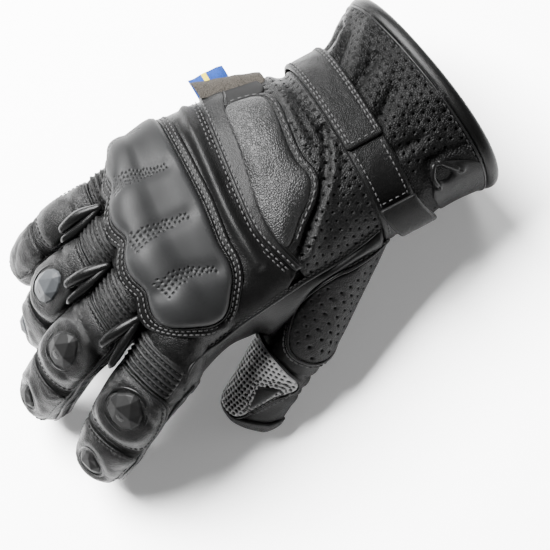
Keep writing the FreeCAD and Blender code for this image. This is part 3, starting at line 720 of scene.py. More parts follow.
def distance_to_set(points, others):
    """How far each point is from the nearest of some others."""
    best = np.full(len(points), 1e9)
    for other in others:
        best = np.minimum(best, np.hypot(*(points - other).T))
    return best


def capsule():
    """A stitch along +X, one long and one thick, with its ends dipping into the leather."""
    rings = ((-0.5, 0.35, -0.6), (-0.3, 0.9, 0.0), (0.3, 0.9, 0.0), (0.5, 0.35, -0.6))
    around = np.arange(6) * math.pi / 3
    points = [(x, r * math.cos(t), r * math.sin(t) + z) for x, r, z in rings for t in around]
    return np.array(points), tube(len(rings), len(around), clockwise=True)


STITCH = capsule()


def stitches(name, skin, lines, material, body, level=0.5, pitch=2.7, length=2.0, radius=0.36):
    """Thread stitches along lines on a skin, joined in one piece. level may be a list, one a line."""
    levels = level if isinstance(level, (list, tuple)) else [level] * len(lines)
    points, faces = [], []
    for line, lift in zip(lines, levels):
        fine = spread(line, 0.4)
        places = skin.lifted(fine, lift(fine) if callable(lift) else lift)
        ups = skin.normal(fine[:, 0], fine[:, 1])
        along = lengths_along(places)
        count = max(1, int(along[-1] // pitch))
        for at in (np.arange(count) + 0.5) * along[-1] / count:
            ends = [looked_up(at + d, along, places) for d in (-0.5, 0.5)]
            up = looked_up(at, along, ups)
            run = unit(ends[1] - ends[0])
            side = unit(np.cross(up, run))
            up = np.cross(run, side)
            base = (ends[0] + ends[1]) / 2
            shape = STITCH[0] * np.array([length, radius, radius])
            start = len(points) * len(shape)
            points.append(base + shape[:, :1] * run + shape[:, 1:2] * side + shape[:, 2:] * up)
            faces += [tuple(k + start for k in face) for face in STITCH[1]]
    return build(name, np.concatenate(points), faces, material, body)


def two_faced(line, half):
    """A cut line (x, z) thickened by half either side: there along one face, back along the other."""
    normals = unit(np.gradient(line, axis=0))[:, ::-1] * np.array([-1, 1])
    return np.concatenate([line + normals * half, (line - normals * half)[::-1]])


def outward(piece):
    """Turn a closed piece's faces to look out."""
    shape = bmesh.new()
    shape.from_mesh(piece.data)
    bmesh.ops.recalc_face_normals(shape, faces=shape.faces)
    shape.to_mesh(piece.data)
    shape.free()
    return piece


def web(name, first, second, bulge, thick, material, body, stands=()):
    """A sheet stretched between two lines of places, swelling outwards, with a real thickness."""
    count, across = 70, 26
    first, second = (spread(line, 1.0) for line in (first, second))
    at = np.linspace(0, 1, count)
    first, second = (looked_up(at, np.linspace(0, 1, len(line)), line) for line in (first, second))
    out = unit(np.cross(np.gradient(first, axis=0), second - first))
    shares = np.linspace(0, 1, across)
    sheets = []
    for lift in (0.0, -thick):
        sheets.append(np.array([a * (1 - t) + b * t + n * (bulge(s) * 4 * t * (1 - t) + lift)
                    for s, a, b, n in zip(at, first, second, out) for t in shares]))
    size = count * across
    faces = []
    for face in quads(count, across, closed=False):
        faces += [face, tuple(k + size for k in flipped(face))]
    loop = ([(0, c) for c in range(across)] + [(r, across - 1) for r in range(1, count)]
        + [(count - 1, c) for c in range(across - 2, -1, -1)]
        + [(r, 0) for r in range(count - 2, 0, -1)])
    loop = [r * across + c for r, c in loop]
    faces += [(a, b, b + size, a + size) for a, b in zip(loop, loop[1:] + loop[:1])]
    return outward(build(name, np.concatenate(sheets), faces, material, body, stands=stands))


def cord_mesh(places, ups, radius, flat, sides, closed=False):
    """A swept tube through places; radius may vary along it."""
    radius = np.broadcast_to(np.asarray(radius, float), (len(places),))
    if closed:
        run = unit(np.roll(places, -1, axis=0) - np.roll(places, 1, axis=0))
    else:
        run = unit(np.gradient(places, axis=0))
    side = unit(np.cross(ups, run))
    up = np.cross(run, side)
    around = np.arange(sides) * 2 * math.pi / sides
    points = (places[:, None] + side[:, None] * (np.cos(around)[None, :, None] * radius[:, None, None])
        + up[:, None] * (np.sin(around)[None, :, None] * radius[:, None, None] * flat)).reshape(-1, 3)
    count = len(places)
    return points, quads(count, sides, endless=True) if closed else tube(count, sides)


def piping(name, skin, lines, radius, material, body, level=0.0, flat=1.0, sides=10, closed=False,
           stands=()):
    """Rolled or piped edges along lines on a skin, joined in one piece."""
    points, faces = [], []
    start = 0
    for line in lines:
        fine = spread(line, 1.0)
        places = skin.lifted(fine, level(fine) if callable(level) else level)
        ups = skin.normal(fine[:, 0], fine[:, 1])
        share = np.linspace(0, 1, len(fine))
        thick = radius * np.clip(np.sqrt(np.minimum(share, 1 - share) * 12), 0.3, 1)
        if closed:
            thick = radius
        part_points, part_faces = cord_mesh(places, ups, thick, flat, sides, closed)
        points.append(part_points)
        faces += [tuple(k + start for k in face) for face in part_faces]
        start += len(part_points)
    return build(name, np.concatenate(points), faces, material, body, stands=stands)


# ---------------------------------------------------------------- materials
# How much a material shines unless it says otherwise, and how light all the dyed leathers are.
GLOSS = 0.08
DYE = 0.12
# The band across the label: its middle in the hand frame, and half its width in metres.
BAND_MIDDLE = (60, 39.5, 7)
BAND_HALF = 0.0011


class Nodes:
    """A material's node tree, wired by short calls."""

    def __init__(self, name):
        self.material = bpy.data.materials.new(name)
        self.material.use_nodes = True
        self.tree = self.material.node_tree
        self.shader = self.tree.nodes["Principled BSDF"]
        self.place = self.add("ShaderNodeTexCoord").outputs["Object"]

    def add(self, kind, **settings):
        node = self.tree.nodes.new(kind)
        for key, value in settings.items():
            setattr(node, key, value)
        return node

    def feed(self, socket, value):
        if isinstance(value, bpy.types.NodeSocket):
            self.tree.links.new(value, socket)
        else:
            socket.default_value = value

    def noise(self, per_metre, detail):
        node = self.add("ShaderNodeTexNoise")
        self.feed(node.inputs["Vector"], self.place)
        node.inputs["Scale"].default_value = per_metre
        node.inputs["Detail"].default_value = detail
        node.inputs["Roughness"].default_value = 0.55
        return node.outputs["Fac"]

    def cells(self, per_metre, place=None, feature="DISTANCE_TO_EDGE"):
        node = self.add("ShaderNodeTexVoronoi", feature=feature)
        self.feed(node.inputs["Vector"], place or self.place)
        node.inputs["Scale"].default_value = per_metre
        return node.outputs["Distance"]

    def math(self, operation, a, b=0.0, c=0.0):
        node = self.add("ShaderNodeMath", operation=operation)
        for socket, value in zip(node.inputs, (a, b, c)):
            self.feed(socket, value)
        return node.outputs[0]

    def spread(self, value, low, high, to_low=0.0, to_high=1.0):
        node = self.add("ShaderNodeMapRange")
        for key, number in (("Value", value), ("From Min", low), ("From Max", high), ("To Min", to_low),
                ("To Max", to_high)):
            self.feed(node.inputs[key], number)
        return node.outputs["Result"]

    def blend(self, share, first, second):
        node = self.add("ShaderNodeMix", data_type="RGBA")
        self.feed(node.inputs["Factor"], share)
        self.feed(node.inputs["A"], first)
        self.feed(node.inputs["B"], second)
        return node.outputs["Result"]

    def painted_light_mask(self, low, high):
        """0 in hollows to 1 on raised edges, from the mesh itself: the mask for painted highlight and
        painted shade.
        """
        return self.spread(self.add("ShaderNodeNewGeometry").outputs["Pointiness"], low, high)

    def finish(self, colour, roughness, height=None, depth=0.0002, strength=0.7, **sockets):
        self.feed(self.shader.inputs["Base Color"], colour)
        self.feed(self.shader.inputs["Roughness"], roughness)
        if height is not None:
            bump = self.add("ShaderNodeBump")
            bump.inputs["Strength"].default_value = strength
            bump.inputs["Distance"].default_value = depth
            self.feed(bump.inputs["Height"], height)
            self.feed(self.shader.inputs["Normal"], bump.outputs["Normal"])
        self.shader.inputs["Specular IOR Level"].default_value = GLOSS
        for key, value in sockets.items():
            self.shader.inputs[key.replace("_", " ")].default_value = value
        return self.material


def grey(shade, warm=0.0):
    """A grey, tinted warm, or cool where warm is negative."""
    return (shade * (1 + warm), shade, shade * (1 - warm * 1.2), 1)


def leather(name, shade, grain, depth, roughness, ridge_highlight=2.0, wrinkled=0.0, **sockets):
    """Dyed leather: grain cells of that size in mm, darker in the hollows, with raised edges and folds
    painted lighter as a painted highlight.
    """
    n = Nodes(name)
    shade = shade * DYE
    warp = n.add("ShaderNodeVectorMath", operation="MULTIPLY_ADD")
    wander = n.add("ShaderNodeTexNoise")
    wander.inputs["Scale"].default_value = 420
    n.feed(wander.inputs["Vector"], n.place)
    n.feed(warp.inputs[0], wander.outputs["Color"])
    warp.inputs[1].default_value = (0.0007,) * 3
    n.feed(warp.inputs[2], n.place)
    place = warp.outputs[0]
    cells = n.spread(n.cells(1000 / grain, place), 0.0, 0.28)
    fine = n.noise(3600 / grain, 2)
    cloud = n.noise(55, 4)
    height = n.math("ADD", n.math("MULTIPLY", cells, 0.75), n.math("MULTIPLY", fine, 0.5))
    if wrinkled:
        height = n.math("ADD", height, n.math("MULTIPLY", n.noise(190, 3), 4 * wrinkled))
    dyed = n.blend(n.spread(cloud, 0.3, 0.7), grey(shade * 0.8), grey(shade * 1.2))
    hollowed = n.blend(n.spread(cells, 0.0, 0.6, 0.45, 1.0), grey(shade * 0.35), dyed)
    # Painted highlight: raised edges and folds painted lighter, found from the mesh's curvature.
    colour = n.blend(n.painted_light_mask(0.505, 0.6), hollowed, grey(shade * ridge_highlight))
    rough = n.spread(fine, 0.3, 0.7, roughness - 0.07, roughness + 0.08)
    return n.finish(colour, rough, height, depth, 0.75, **sockets)


def woven(name, shade, pitch=0.7, roughness=0.8, warm=0.0, **sockets):
    n = Nodes(name)
    fine = n.noise(2600, 2)
    weave = n.cells(1000 / pitch, feature="F1")
    height = n.math("ADD", weave, n.math("MULTIPLY", fine, 0.4))
    colour = n.blend(n.spread(weave, 0.1, 0.8), grey(shade * 1.5, warm), grey(shade * 0.45, warm))
    return n.finish(colour, roughness, height, 0.0003, 0.9, **{"Sheen_Weight": 0.25, **sockets})


def knit(name, shade):
    """Open spacer knit: pale strands, with painted shade, near black, in the eyes between them."""
    n = Nodes(name)
    fine = n.noise(2600, 2)
    strand = n.blend(n.spread(fine, 0.3, 0.7), grey(shade * 0.75), grey(shade * 1.25))
    # Painted shade: the knit's sunken eyes painted near black.
    colour = n.blend(n.painted_light_mask(0.46, 0.53), grey(shade * 0.05), strand)
    return n.finish(colour, 0.6, fine, 0.0001, 0.6, Sheen_Weight=0.2)


def plain(name, shade, roughness, mottled, per_metre=900, depth=0.00008, warm=0.0, **sockets):
    n = Nodes(name)
    fine = n.noise(per_metre, 3)
    colour = n.blend(n.spread(fine, 0.3, 0.7), grey(shade * (1 - mottled), warm),
        grey(shade * (1 + mottled), warm))
    # Painted highlight: raised edges painted lighter, found from the mesh's curvature.
    colour = n.blend(n.painted_light_mask(0.5, 0.6), colour, grey(shade * 1.8, warm))
    return n.finish(colour, n.spread(fine, 0.2, 0.8, roughness - 0.08, roughness + 0.08), fine, depth,
        0.5, **sockets)


def banded(name, ground, band):
    """Woven tape of one colour with one plain band of another across it."""
    n = Nodes(name)
    along = n.add("ShaderNodeSeparateXYZ")
    n.feed(along.inputs[0], n.place)
    middle = float(to_row(BAND_MIDDLE)[0][1])
    near = n.math("COMPARE", along.outputs["Y"], middle, BAND_HALF)
    weave = n.cells(2200, feature="F1")
    colour = n.blend(near, ground, band)
    shaded = n.blend(n.spread(weave, 0.1, 0.9, 0.0, 0.5), colour, (0.01, 0.01, 0.015, 1))
    return n.finish(shaded, 0.6, weave, 0.0002, 0.8, Specular_IOR_Level=0.02)


M = {
    "back": leather("back_leather", 0.0143, 0.9, 0.0001, 0.38, Specular_IOR_Level=0.065),
    "pad": leather("pebble_leather", 0.0202, 1.05, 0.00022, 0.4, 1.8, Specular_IOR_Level=0.15),
    "strip": leather("strip_leather", 0.0126, 0.8, 0.00009, 0.44, Specular_IOR_Level=0.09),
    "palm": leather("palm_leather", 0.0092, 1.2, 0.0002, 0.6, 1.5),
    "perforated": leather("perforated_leather", 0.0126, 1.0, 0.00022, 0.40, Specular_IOR_Level=0.068),
    "cuff": leather("cuff_leather", 0.0109, 1.1, 0.00028, 0.40, 2.2, Specular_IOR_Level=0.042),
    "strap": leather("strap_leather", 0.0151, 0.8, 0.0002, 0.42, 2.2, 0.35, Specular_IOR_Level=0.05),
    "border": leather("border_leather", 0.0126, 0.9, 0.00008, 0.42, 1.2, Specular_IOR_Level=0.05),
    "band": leather("band_leather", 0.0067, 0.8, 0.00012, 0.4, 2.4),
    "binding": leather("binding_leather", 0.0084, 0.7, 0.00006, 0.34, 1.8),
    "finger": leather("finger_leather", 0.0151, 0.85, 0.00016, 0.37, 2.4, Specular_IOR_Level=0.085),
    "fourchette": leather("fourchette_leather", 0.0076, 0.8, 0.00016, 0.37, 2.4),
    "ridge": leather("ridge_leather", 0.0109, 0.7, 0.00005, 0.26, 2.4),
    "piping": leather("piping_leather", 0.0168, 0.6, 0.00005, 0.3, 2.0),
    "guard": plain("guard_cover", 0.0045, 0.52, 0.07, 1500, 0.00003, -0.02),
    "guard_dot": plain("guard_dot", 0.008, 0.6, 0.1),
    "hole": plain("hole_shadow", 0.004, 0.9, 0.3),
    "lining": woven("lining_cloth", 0.012),
    "thread": plain("thread", 0.022, 0.55, 0.5, 2500, 0.0002),
    "dark_thread": plain("dark_thread", 0.005, 0.55, 0.5, 2500, 0.0002),
    "armour": plain("armour_resin", 0.0035, 0.46, 0.1, 700, 0.00002, 0.0, Specular_IOR_Level=0.035,
                    Coat_Weight=0.02),
    "armour_grey": plain("armour_resin_grey", 0.02, 0.42, 0.1, 700, 0.00002, -0.06,
                         Specular_IOR_Level=0.06, Coat_Weight=0.02),
    "label": woven("label_weave", 0.02, 0.45, 0.8, 0.12, Sheen_Weight=0.02, Specular_IOR_Level=0.03),
    "label_bands": banded("label_bands", (0.006, 0.026, 0.13, 1), (0.42, 0.33, 0.01, 1)),
    "hook": plain("hook_tape", 0.012, 0.6, 0.5, 3000, 0.0003),
    "loop": plain("loop_pile", 0.014, 0.9, 0.6, 3500, 0.0005),
    "mesh": knit("mesh_knit", 0.16),
    "stretch": leather("stretch_leather", 0.0109, 0.7, 0.00013, 0.4, 3.0),
}


# ---------------------------------------------------------------- hand
THUMB_SEAM = HAND.flank([(6, 7), (20, 5), (32, 3.5), (49, 5), (66, 5), (80, 4), (98, 0), (108, -2)], -1)
LITTLE_SEAM = HAND.flank([(6, 2), (30, 1), (60, 0), (84, -2), (94, -4)], 1)
NOSE_ROW = 115.5
STRIP_DISTAL = [(50, 47), (36, 49.5), (20, 52), (2, 54.5), (-15, 56.5), (-26, 56), (-41, 50)]
STRIP_PROXIMAL = [(50, 36.5), (42, 38), (37, 40), (25, 42.5), (10, 45), (-5, 48.5), (-17.5, 51),
    (-30, 50.5), (-41, 46.5)]
PAD_OUTLINE = [(34.4, 41.4), (33.8, 33), (31, 26.5), (26, 24.5), (18, 25), (4, 27.5), (-5, 28),
    (-13, 26.5), (-20, 31), (-25, 38), (-33, 49.5), (-20, 52), (-5, 50), (10, 46.5), (25, 44)]
GUARD_OUTLINE = [
    (50, 67), ((55, 80), (40, 91.5)), ((33, 95.5), (25.5, 95.5)), ((14.5, 103.2), (2, 101.5)),
    ((-8, 107.8), (-20, 105.2)), ((-33, 107), (-41, 97)), ((-44, 86), (-37, 78)),
    ((-30, 73), (-20, 73)), (0, 70)]
GUARD_BUMPS = ((38, 83), (14.5, 91), (-9, 95.5), (-31.5, 95))
NOSE_LIFT = 3.0
GUARD_VALLEYS = (
    [(23.5, 96.5), (24, 87), (22, 75)],
    [(-3, 102.5), (-1.5, 91), (-2, 78)],
    [(-24.5, 101), (-23, 90), (-27, 79)],
)


def rows(start, end, step):
    return np.linspace(start, end, max(3, int(round((end - start) / step)) + 1))


def round_skin(count=200):
    return np.linspace(-SKIN_HALF, SKIN_HALF, count, endpoint=False)


def seam_u(seam, v):
    """How far across a seam lies at row v."""
    return np.interp(v, seam[:, 1], seam[:, 0])


def make_linings():
    sleeve("hand_lining_cloth", HAND, round_skin(), rows(23, NOSE_END - 0.6, 3), -2.6, "lining", "hand",
        stands=("hand_lining",))
    sleeve("wrist_lining_cloth", HAND, round_skin(), rows(4, 26, 2), -3.6, "lining", WRIST_BEND)


def make_back_panel():
    vs = np.linspace(58, NOSE_ROW, 20)
    little_side = joined(seam_u(LITTLE_SEAM, vs), vs)
    thumb_side = joined(seam_u(THUMB_SEAM, vs[::-1]), vs[::-1])
    strip = HAND.dorsal(STRIP_DISTAL[::-1])
    outline = np.concatenate([curve(strip + (0, -1.5)), little_side, thumb_side])
    crest = curve(HAND.dorsal([(46, 55.5), (34, 57.5), (3, 61.5), (-14, 63), (-33, 62.5)]))
    hollow = curve(HAND.dorsal([(40, 62), (20, 63.5), (-2, 66), (-20, 68), (-35, 72)]))
    lobe = curve(HAND.dorsal([(-10, 115), (-24, 113), (-36, 108), (-44, 98), (-46, 86)]))

    def shape(uv):
        return (groove(uv, crest, 2.6, -2.4) + groove(uv, hollow, 1.8, 0.9)
            + groove(uv, lobe, 3.0, -1.3) + groove(uv, strip, 2.2, 0.9) + 0.3 * rumple(uv, 9, 3))

    patch("hand_back_leather", HAND, outline, "back", "hand", level=-0.3, rise=0.7,
        shape=shape, stands=("back_panel",))


def make_palm_panel():
    vs = np.linspace(24, NOSE_ROW, 24)
    little_side = joined(seam_u(LITTLE_SEAM, vs) - 1.5, vs)
    thumb_side = joined(seam_u(THUMB_SEAM, vs[::-1]) + 1.5 + 2 * SKIN_HALF, vs[::-1])
    creases = [curve([(75, 92), (95, 84), (120, 82), (150, 90)]),
        curve([(168, 78), (140, 66), (118, 50), (108, 32)])]

    def shape(uv):
        return sum(groove(uv, line, 1.6, 1.2) for line in creases) + 0.5 * rumple(uv, 12, 5)

    patch("palm_leather_panel", HAND, np.concatenate([thumb_side, little_side]), "palm", "hand",
        level=-0.9, rise=0.6, cell=1.8, shape=shape, stands=("palm_panel",))


def make_palm_patch():
    """The reinforcement on the heel of the palm, double stitched."""
    outline = softened(curve([(148, 30), (120, 27), (92, 32), (84, 50), (92, 66), (112, 72), (132, 66),
                (146, 50)], CELL, True), 2)
    patch("palm_patch_leather", HAND, outline, "perforated", "hand", level=-0.2,
        rise=1.1, crown=0.8, shape=lambda uv: 0.3 * rumple(uv, 8, 7), stands=("palm_patch",))
    rims = [looped(line) for line in (grown(outline, -1.4), grown(outline, -3.2))]
    stitches("palm_patch_stitches", HAND, rims, "thread", "hand", level=1.0, pitch=3.0,
        length=2.2)


def make_wrist_panel():
    pad = softened(curve(HAND.dorsal(PAD_OUTLINE), CELL, True))
    keep_out = grown(pad, 4.0)
    strip = curve(HAND.dorsal(STRIP_PROXIMAL))
    vs = np.linspace(8, 47, 14)
    thumb_side = joined(seam_u(THUMB_SEAM, vs), vs)
    outline = np.concatenate([thumb_side, curve(HAND.dorsal(STRIP_PROXIMAL[::-1]) + (0, 1.5)),
            [(66, 30), (92, 26), (92, 8)]])
    valley = curve(HAND.dorsal([(3, 12), (-6, 15), (-15, 21), (-25, 31), (-37, 45)]))
    ridge = curve(HAND.dorsal([(-4, 12), (-12, 14.5), (-20, 20), (-30, 31), (-39, 42)]))
    roll = curve(HAND.dorsal([(46, 18), (38, 17.5), (24, 18.5), (10, 20.5), (0, 21.5)]))
    under_strap = curve(HAND.dorsal([(46, 12), (20, 12), (0, 11.5)]))

    def shape(uv):
        return (groove(uv, valley, 1.7, 1.8) + groove(uv, ridge, 2.2, -1.4)
            + groove(uv, roll, 2.0, -1.5) + groove(uv, under_strap, 2.5, 1.3) + 0.4 * rumple(uv, 7, 8)
            + 0.25 * creased(uv, 16, 9))

    low, high = np.array([-56, 10.5]), np.array([60, 46])
    holes = lattice(low, high, HOLE_PITCH)
    free = (inside(holes, outline) & (distance(holes, outline, True) > 1.6) & ~inside(holes, keep_out)
        & ((holes[:, 1] < 27) | (holes[:, 0] < 0)) & (distance(holes, strip) > 2.0))
    patch("wrist_perforated_leather", HAND, outline, ["perforated", "hole"], WRIST_BEND,
        level=-0.4, rise=0.4, holes=holes[free], hole_radius=0.62, shape=shape,
        stands=("wrist_panel",))
    patch("wrist_palm_leather", HAND, np.array([(88.0, 7), (196, 7), (196, 27), (88, 27)]), "palm",
        WRIST_BEND, level=-0.8, rise=0.4, cell=2.0,
        shape=lambda uv: 0.6 * np.cos(uv[:, 1] * 1.1) * smooth_step(np.sin(uv[:, 1] / 3)))


def make_strip():
    distal, proximal = curve(HAND.dorsal(STRIP_DISTAL)), curve(HAND.dorsal(STRIP_PROXIMAL))
    outline = np.concatenate([distal, proximal[::-1]])
    patch("backhand_strip_leather", HAND, outline, "strip", "hand", level=0.2,
        rise=1.3, edge=0.9, skirt=1.8, cell=1.0, shape=lambda uv: 0.2 * rumple(uv, 6, 11),
        stands=("backhand_strip",))
    edge = distal[3:-2]
    stitches("backhand_stitches", HAND, [edge + (0, -1.1), edge + (0, 1.6), edge + (0, 3.2)], "thread",
        "hand", level=[1.75, 0.35, 0.2])
    piping("backhand_piping", HAND, [proximal[2:-2] + (0, -0.3)], 0.55, "piping", "hand",
        level=1.1)


def make_back_pad():
    outline = softened(curve(HAND.dorsal(PAD_OUTLINE), CELL, True))
    frame_line = grown(outline, 3.4)
    patch("back_pad_border", HAND, frame_line, "perforated", "hand", level=0.1,
        rise=0.9, edge=1.0)
    pad = patch("back_pad_leather", HAND, outline, "pad", "hand", level=0.7,
        rise=1.0, edge=1.3, crown=1.6, crown_reach=11, skirt=1.4, cell=1.0, swell=1.4,
        shape=lambda uv: 0.25 * rumple(uv, 8, 21), stands=("back_pad",))
    seam = grown(outline, 1.7)
    bare = seam[seam[:, 1] < HAND.dorsal([(0, 44)])[0, 1]]
    start = np.argmax(np.linalg.norm(np.diff(bare, axis=0), axis=1)) + 1
    bare = np.roll(bare, -start, axis=0)
    stitches("back_pad_stitches", HAND, [bare], "thread", "hand", level=1.05,
        pitch=3.2, length=2.4)


# ---------------------------------------------------------------- knuckle guard
def guard_shape(uv, bumps, valleys):
    height = np.zeros(len(uv))
    for bump in bumps:
        away = np.linalg.norm(uv - bump, axis=1)
        height += 1.9 * np.exp(-(away / 11.5) ** 2)
    for valley in valleys:
        height += groove(uv, valley, 4.2, 1.1)
    return height


def guard_dots(valleys, outline):
    """Dimples down each valley: four across at the fingers' end, one at the wrist's end."""
    dots = []
    for valley in valleys:
        line = spread(valley, 1.9)[1:]
        for k, place in enumerate(line):
            across = int(round(4.8 - 3.4 * k / len(line)))
            for j in range(across):
                dots.append(place + np.array([(j - (across - 1) / 2) * 2.15 + 0.5 * (k % 2), 0.4 * j]))
    edge_line = spread(HAND.dorsal([(40, 92), (45, 84), (46, 76)]), 2.0)
    dots += [place + (d, 0.6 * d) for place in edge_line for d in (-2.0, 0.0)]
    dots = np.array(dots)
    return dots[inside(dots, outline) & (distance(dots, outline, True) > 2.0)]


def nose_lift(uv):
    """The guard and its border stand higher where they ride over the finger roots."""
    return NOSE_LIFT * smooth_step((uv[:, 1] - 88) / 14)


def make_guard():
    outline = softened(HAND.dorsal(trace(GUARD_OUTLINE)), 6)
    outline = spread_closed(outline, 1.0)
    valleys = [curve(HAND.dorsal(valley)) for valley in GUARD_VALLEYS]
    bumps = HAND.dorsal(GUARD_BUMPS)
    border_line = grown(outline, 4.9)
    rims = [looped(line) for line in (grown(outline, 1.8), grown(outline, 3.5))]
    patch("guard_border_leather", HAND, border_line, "border", "hand", level=0.0,
        rise=1.1, edge=1.2, skirt=1.8, solid=True, cell=0.9, lift=nose_lift,
        shape=lambda uv: 0.12 * rumple(uv, 5, 31) + sum(groove(uv, rim, 0.55, 0.55) for rim in rims),
        stands=("guard_border",))
    guard = patch("knuckle_guard_cover", HAND, outline, ["guard", "guard_dot"], "hand",
        level=0.9, rise=2.4, edge=2.0, crown=0.8, crown_reach=9, skirt=1.6, cell=1.0,
        holes=guard_dots(valleys, outline), hole_radius=0.42, hole_depth=0.45,
        shape=lambda uv: guard_shape(uv, bumps, valleys), solid=True, lift=nose_lift,
        stands=("knuckle_guard", "knuckle_foam"))
    piping("guard_edge_piping", HAND, [grown(outline, 0.55)], 0.5, "fourchette", "hand",
        level=lambda uv: 1.0 + nose_lift(uv), closed=True)
    stitches("guard_stitches", HAND, rims, "thread", "hand",
        level=[lambda uv: 0.95 + nose_lift(uv)] * 2, pitch=2.4, length=1.9, radius=0.36)


# ---------------------------------------------------------------- label
LABEL_THICK = 0.7


def make_label():
    """A folded woven tab sewn in the little-finger side: plain front, banded back layer."""
    def layer(name, profile, start, end, lean, material):
        ys = np.linspace(start, end, 44)
        line = curve(profile, 0.6)
        both = two_faced(line, LABEL_THICK / 2)
        wave = 0.6 * np.sin((ys - start) / (end - start) * 5.5) + 0.25 * np.sin((ys - start) * 0.8)
        points = np.array([(x + lean * (y - end), y, z + w * (x - profile[0][0]) / 10)
                for y, w in zip(ys, wave) for x, z in both])
        return outward(build(name, points, tube(len(ys), len(both)), material, "hand"))

    front = layer("side_label_front", [(47, 13.5), (51, 13.4), (55, 12.4), (57.6, 10.2), (57.8, 8)], 19,
        47, 0.38, "label")
    back = layer("side_label_back", [(48, 7.5), (53, 8.2), (57, 8.6), (60.2, 8.0)], 31, 47, 0.08,
        "label_bands")
    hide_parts("side_label")
    # Painted shadow: a near-black sheet laid under the label's fold, where shade falls on the hand.
    label_shadow = HAND.dorsal([(48, 43), (38, 41), (34.5, 36), (33.5, 30), (32, 24.5), (36, 22), (46, 23)])
    patch("label_painted_shadow", HAND, softened(spread_closed(label_shadow, 1.0), 4), "hole", "hand",
        level=0.5, rise=0.7)


# ---------------------------------------------------------------- fingers
# How far the pads and armour sit round each finger, at the middle joint and at the tip.
PAD_TURN = {"index": (-4.5, -1.0), "middle": (-3.0, 0.0), "ring": (-1.2, 2.0), "little": (0.0, 1.5)}
# Where the stretch ribs start and end along each finger.
ACCORDION = {"index": (9, 25.5), "middle": (4.5, 20.5), "ring": (5, 19), "little": (3, 15.5)}
ARMOUR_LONG = 14.0
ARMOUR_WIDE = 10.0
SMALL_ARMOUR = 0.8
# How far the knuckle stones sit back from the joint.
GEM_BACK = {"index": 5.0, "middle": 4.5, "ring": 3.5}


def pad_centre(name, v):
    skin = FINGER[name]
    return np.interp(v, (18, skin.bone_a, skin.bone_a + skin.bone_b), (0, *PAD_TURN[name]))


def about(name, points):
    """Outline or line points (u from the pad's middle, v) to finger (u, v)."""
    points = np.asarray(points, float)
    return joined(points[:, 0] + pad_centre(name, points[:, 1]), points[:, 1])


def make_finger_sleeves(name):
    skin = FINGER[name]
    half = skin.half_round(20)
    us = np.linspace(-half, half, 88, endpoint=False)
    split = skin.bone_a * 0.5

    def folds(uv):
        turn = np.abs(uv[:, 0]) / half
        under = smooth_step((turn - 0.4) / 0.35)
        at_joints = sum(np.exp(-((uv[:, 1] - place) / 7) ** 2)
            for place in (skin.bone_a, skin.bone_a + skin.bone_b))
        rolls = np.cos(uv[:, 1] * 1.25 + 1.3 * rumple(uv, 8, 2)) * under * at_joints
        height = 0.7 * rolls + 0.4 * rumple(uv, 5.5, 41 + len(name))
        return height + 0.9 * creased(uv, 9, 43 + len(name)) * (0.3 + under)

    sleeve(f"{name}_base_leather", skin, us, rows(skin.ROOT, split, 1.0), folds, "fourchette",
        finger_bend(name, "knuckle"), stands=(f"{name}_sleeve",))
    sleeve(f"{name}_tip_leather", skin, us, rows(split, skin.end - 0.05, 0.8), folds, "fourchette",
        finger_bend(name, "middle"), cap=True, stands=(f"{name}_tip_sleeve",))


def rib_wave(v, start, pitch):
    """Sharp-topped ribs: 1 on each crest, 0 between."""
    return np.abs(np.cos((v - start) * math.pi / pitch)) ** 2.4


def make_accordion(name):
    skin = FINGER[name]
    start, end = ACCORDION[name]
    pitch = 2.7
    half = 9.2 if name == "little" else 10.8
    box = np.array([(-half, start), (half, start), (half, end), (-half, end)], float)
    outline = softened(spread_closed(box, 0.7), 6)
    patch(f"{name}_stretch_leather", skin, outline, "stretch", finger_bend(name, "knuckle"),
        level=-0.2, rise=0.5, edge=0.6, cell=0.6,
        shape=lambda uv: 2.0 * rib_wave(uv[:, 1], start + 1.6, pitch) - 0.5 + 0.2 * rumple(uv, 3, 5),
        stands=(f"{name}_stretch_panel",))
    valleys = [np.array([(-half + 1, v), (half - 1, v)])
        for v in np.arange(start + 1.6 + pitch / 2, end - 1, pitch)]
    stitches(f"{name}_stretch_stitches", skin, valleys, "dark_thread", finger_bend(name, "knuckle"),
        level=0.45, pitch=2.3, length=1.5, radius=0.3)


def stone_ring(turn, scale):
    """Points of the armour's outline: narrow towards the knuckle, blunt towards the fingertip."""
    along = -np.cos(turn)
    wide = np.sin(turn) * (0.94 + 0.32 * along - 0.08 * along ** 2)
    return joined(wide * ARMOUR_WIDE / 2, along * ARMOUR_LONG / 2) * scale


def teardrop(share, centre):
    return stone_ring(np.linspace(0, 2 * math.pi, 40, endpoint=False), share) + centre


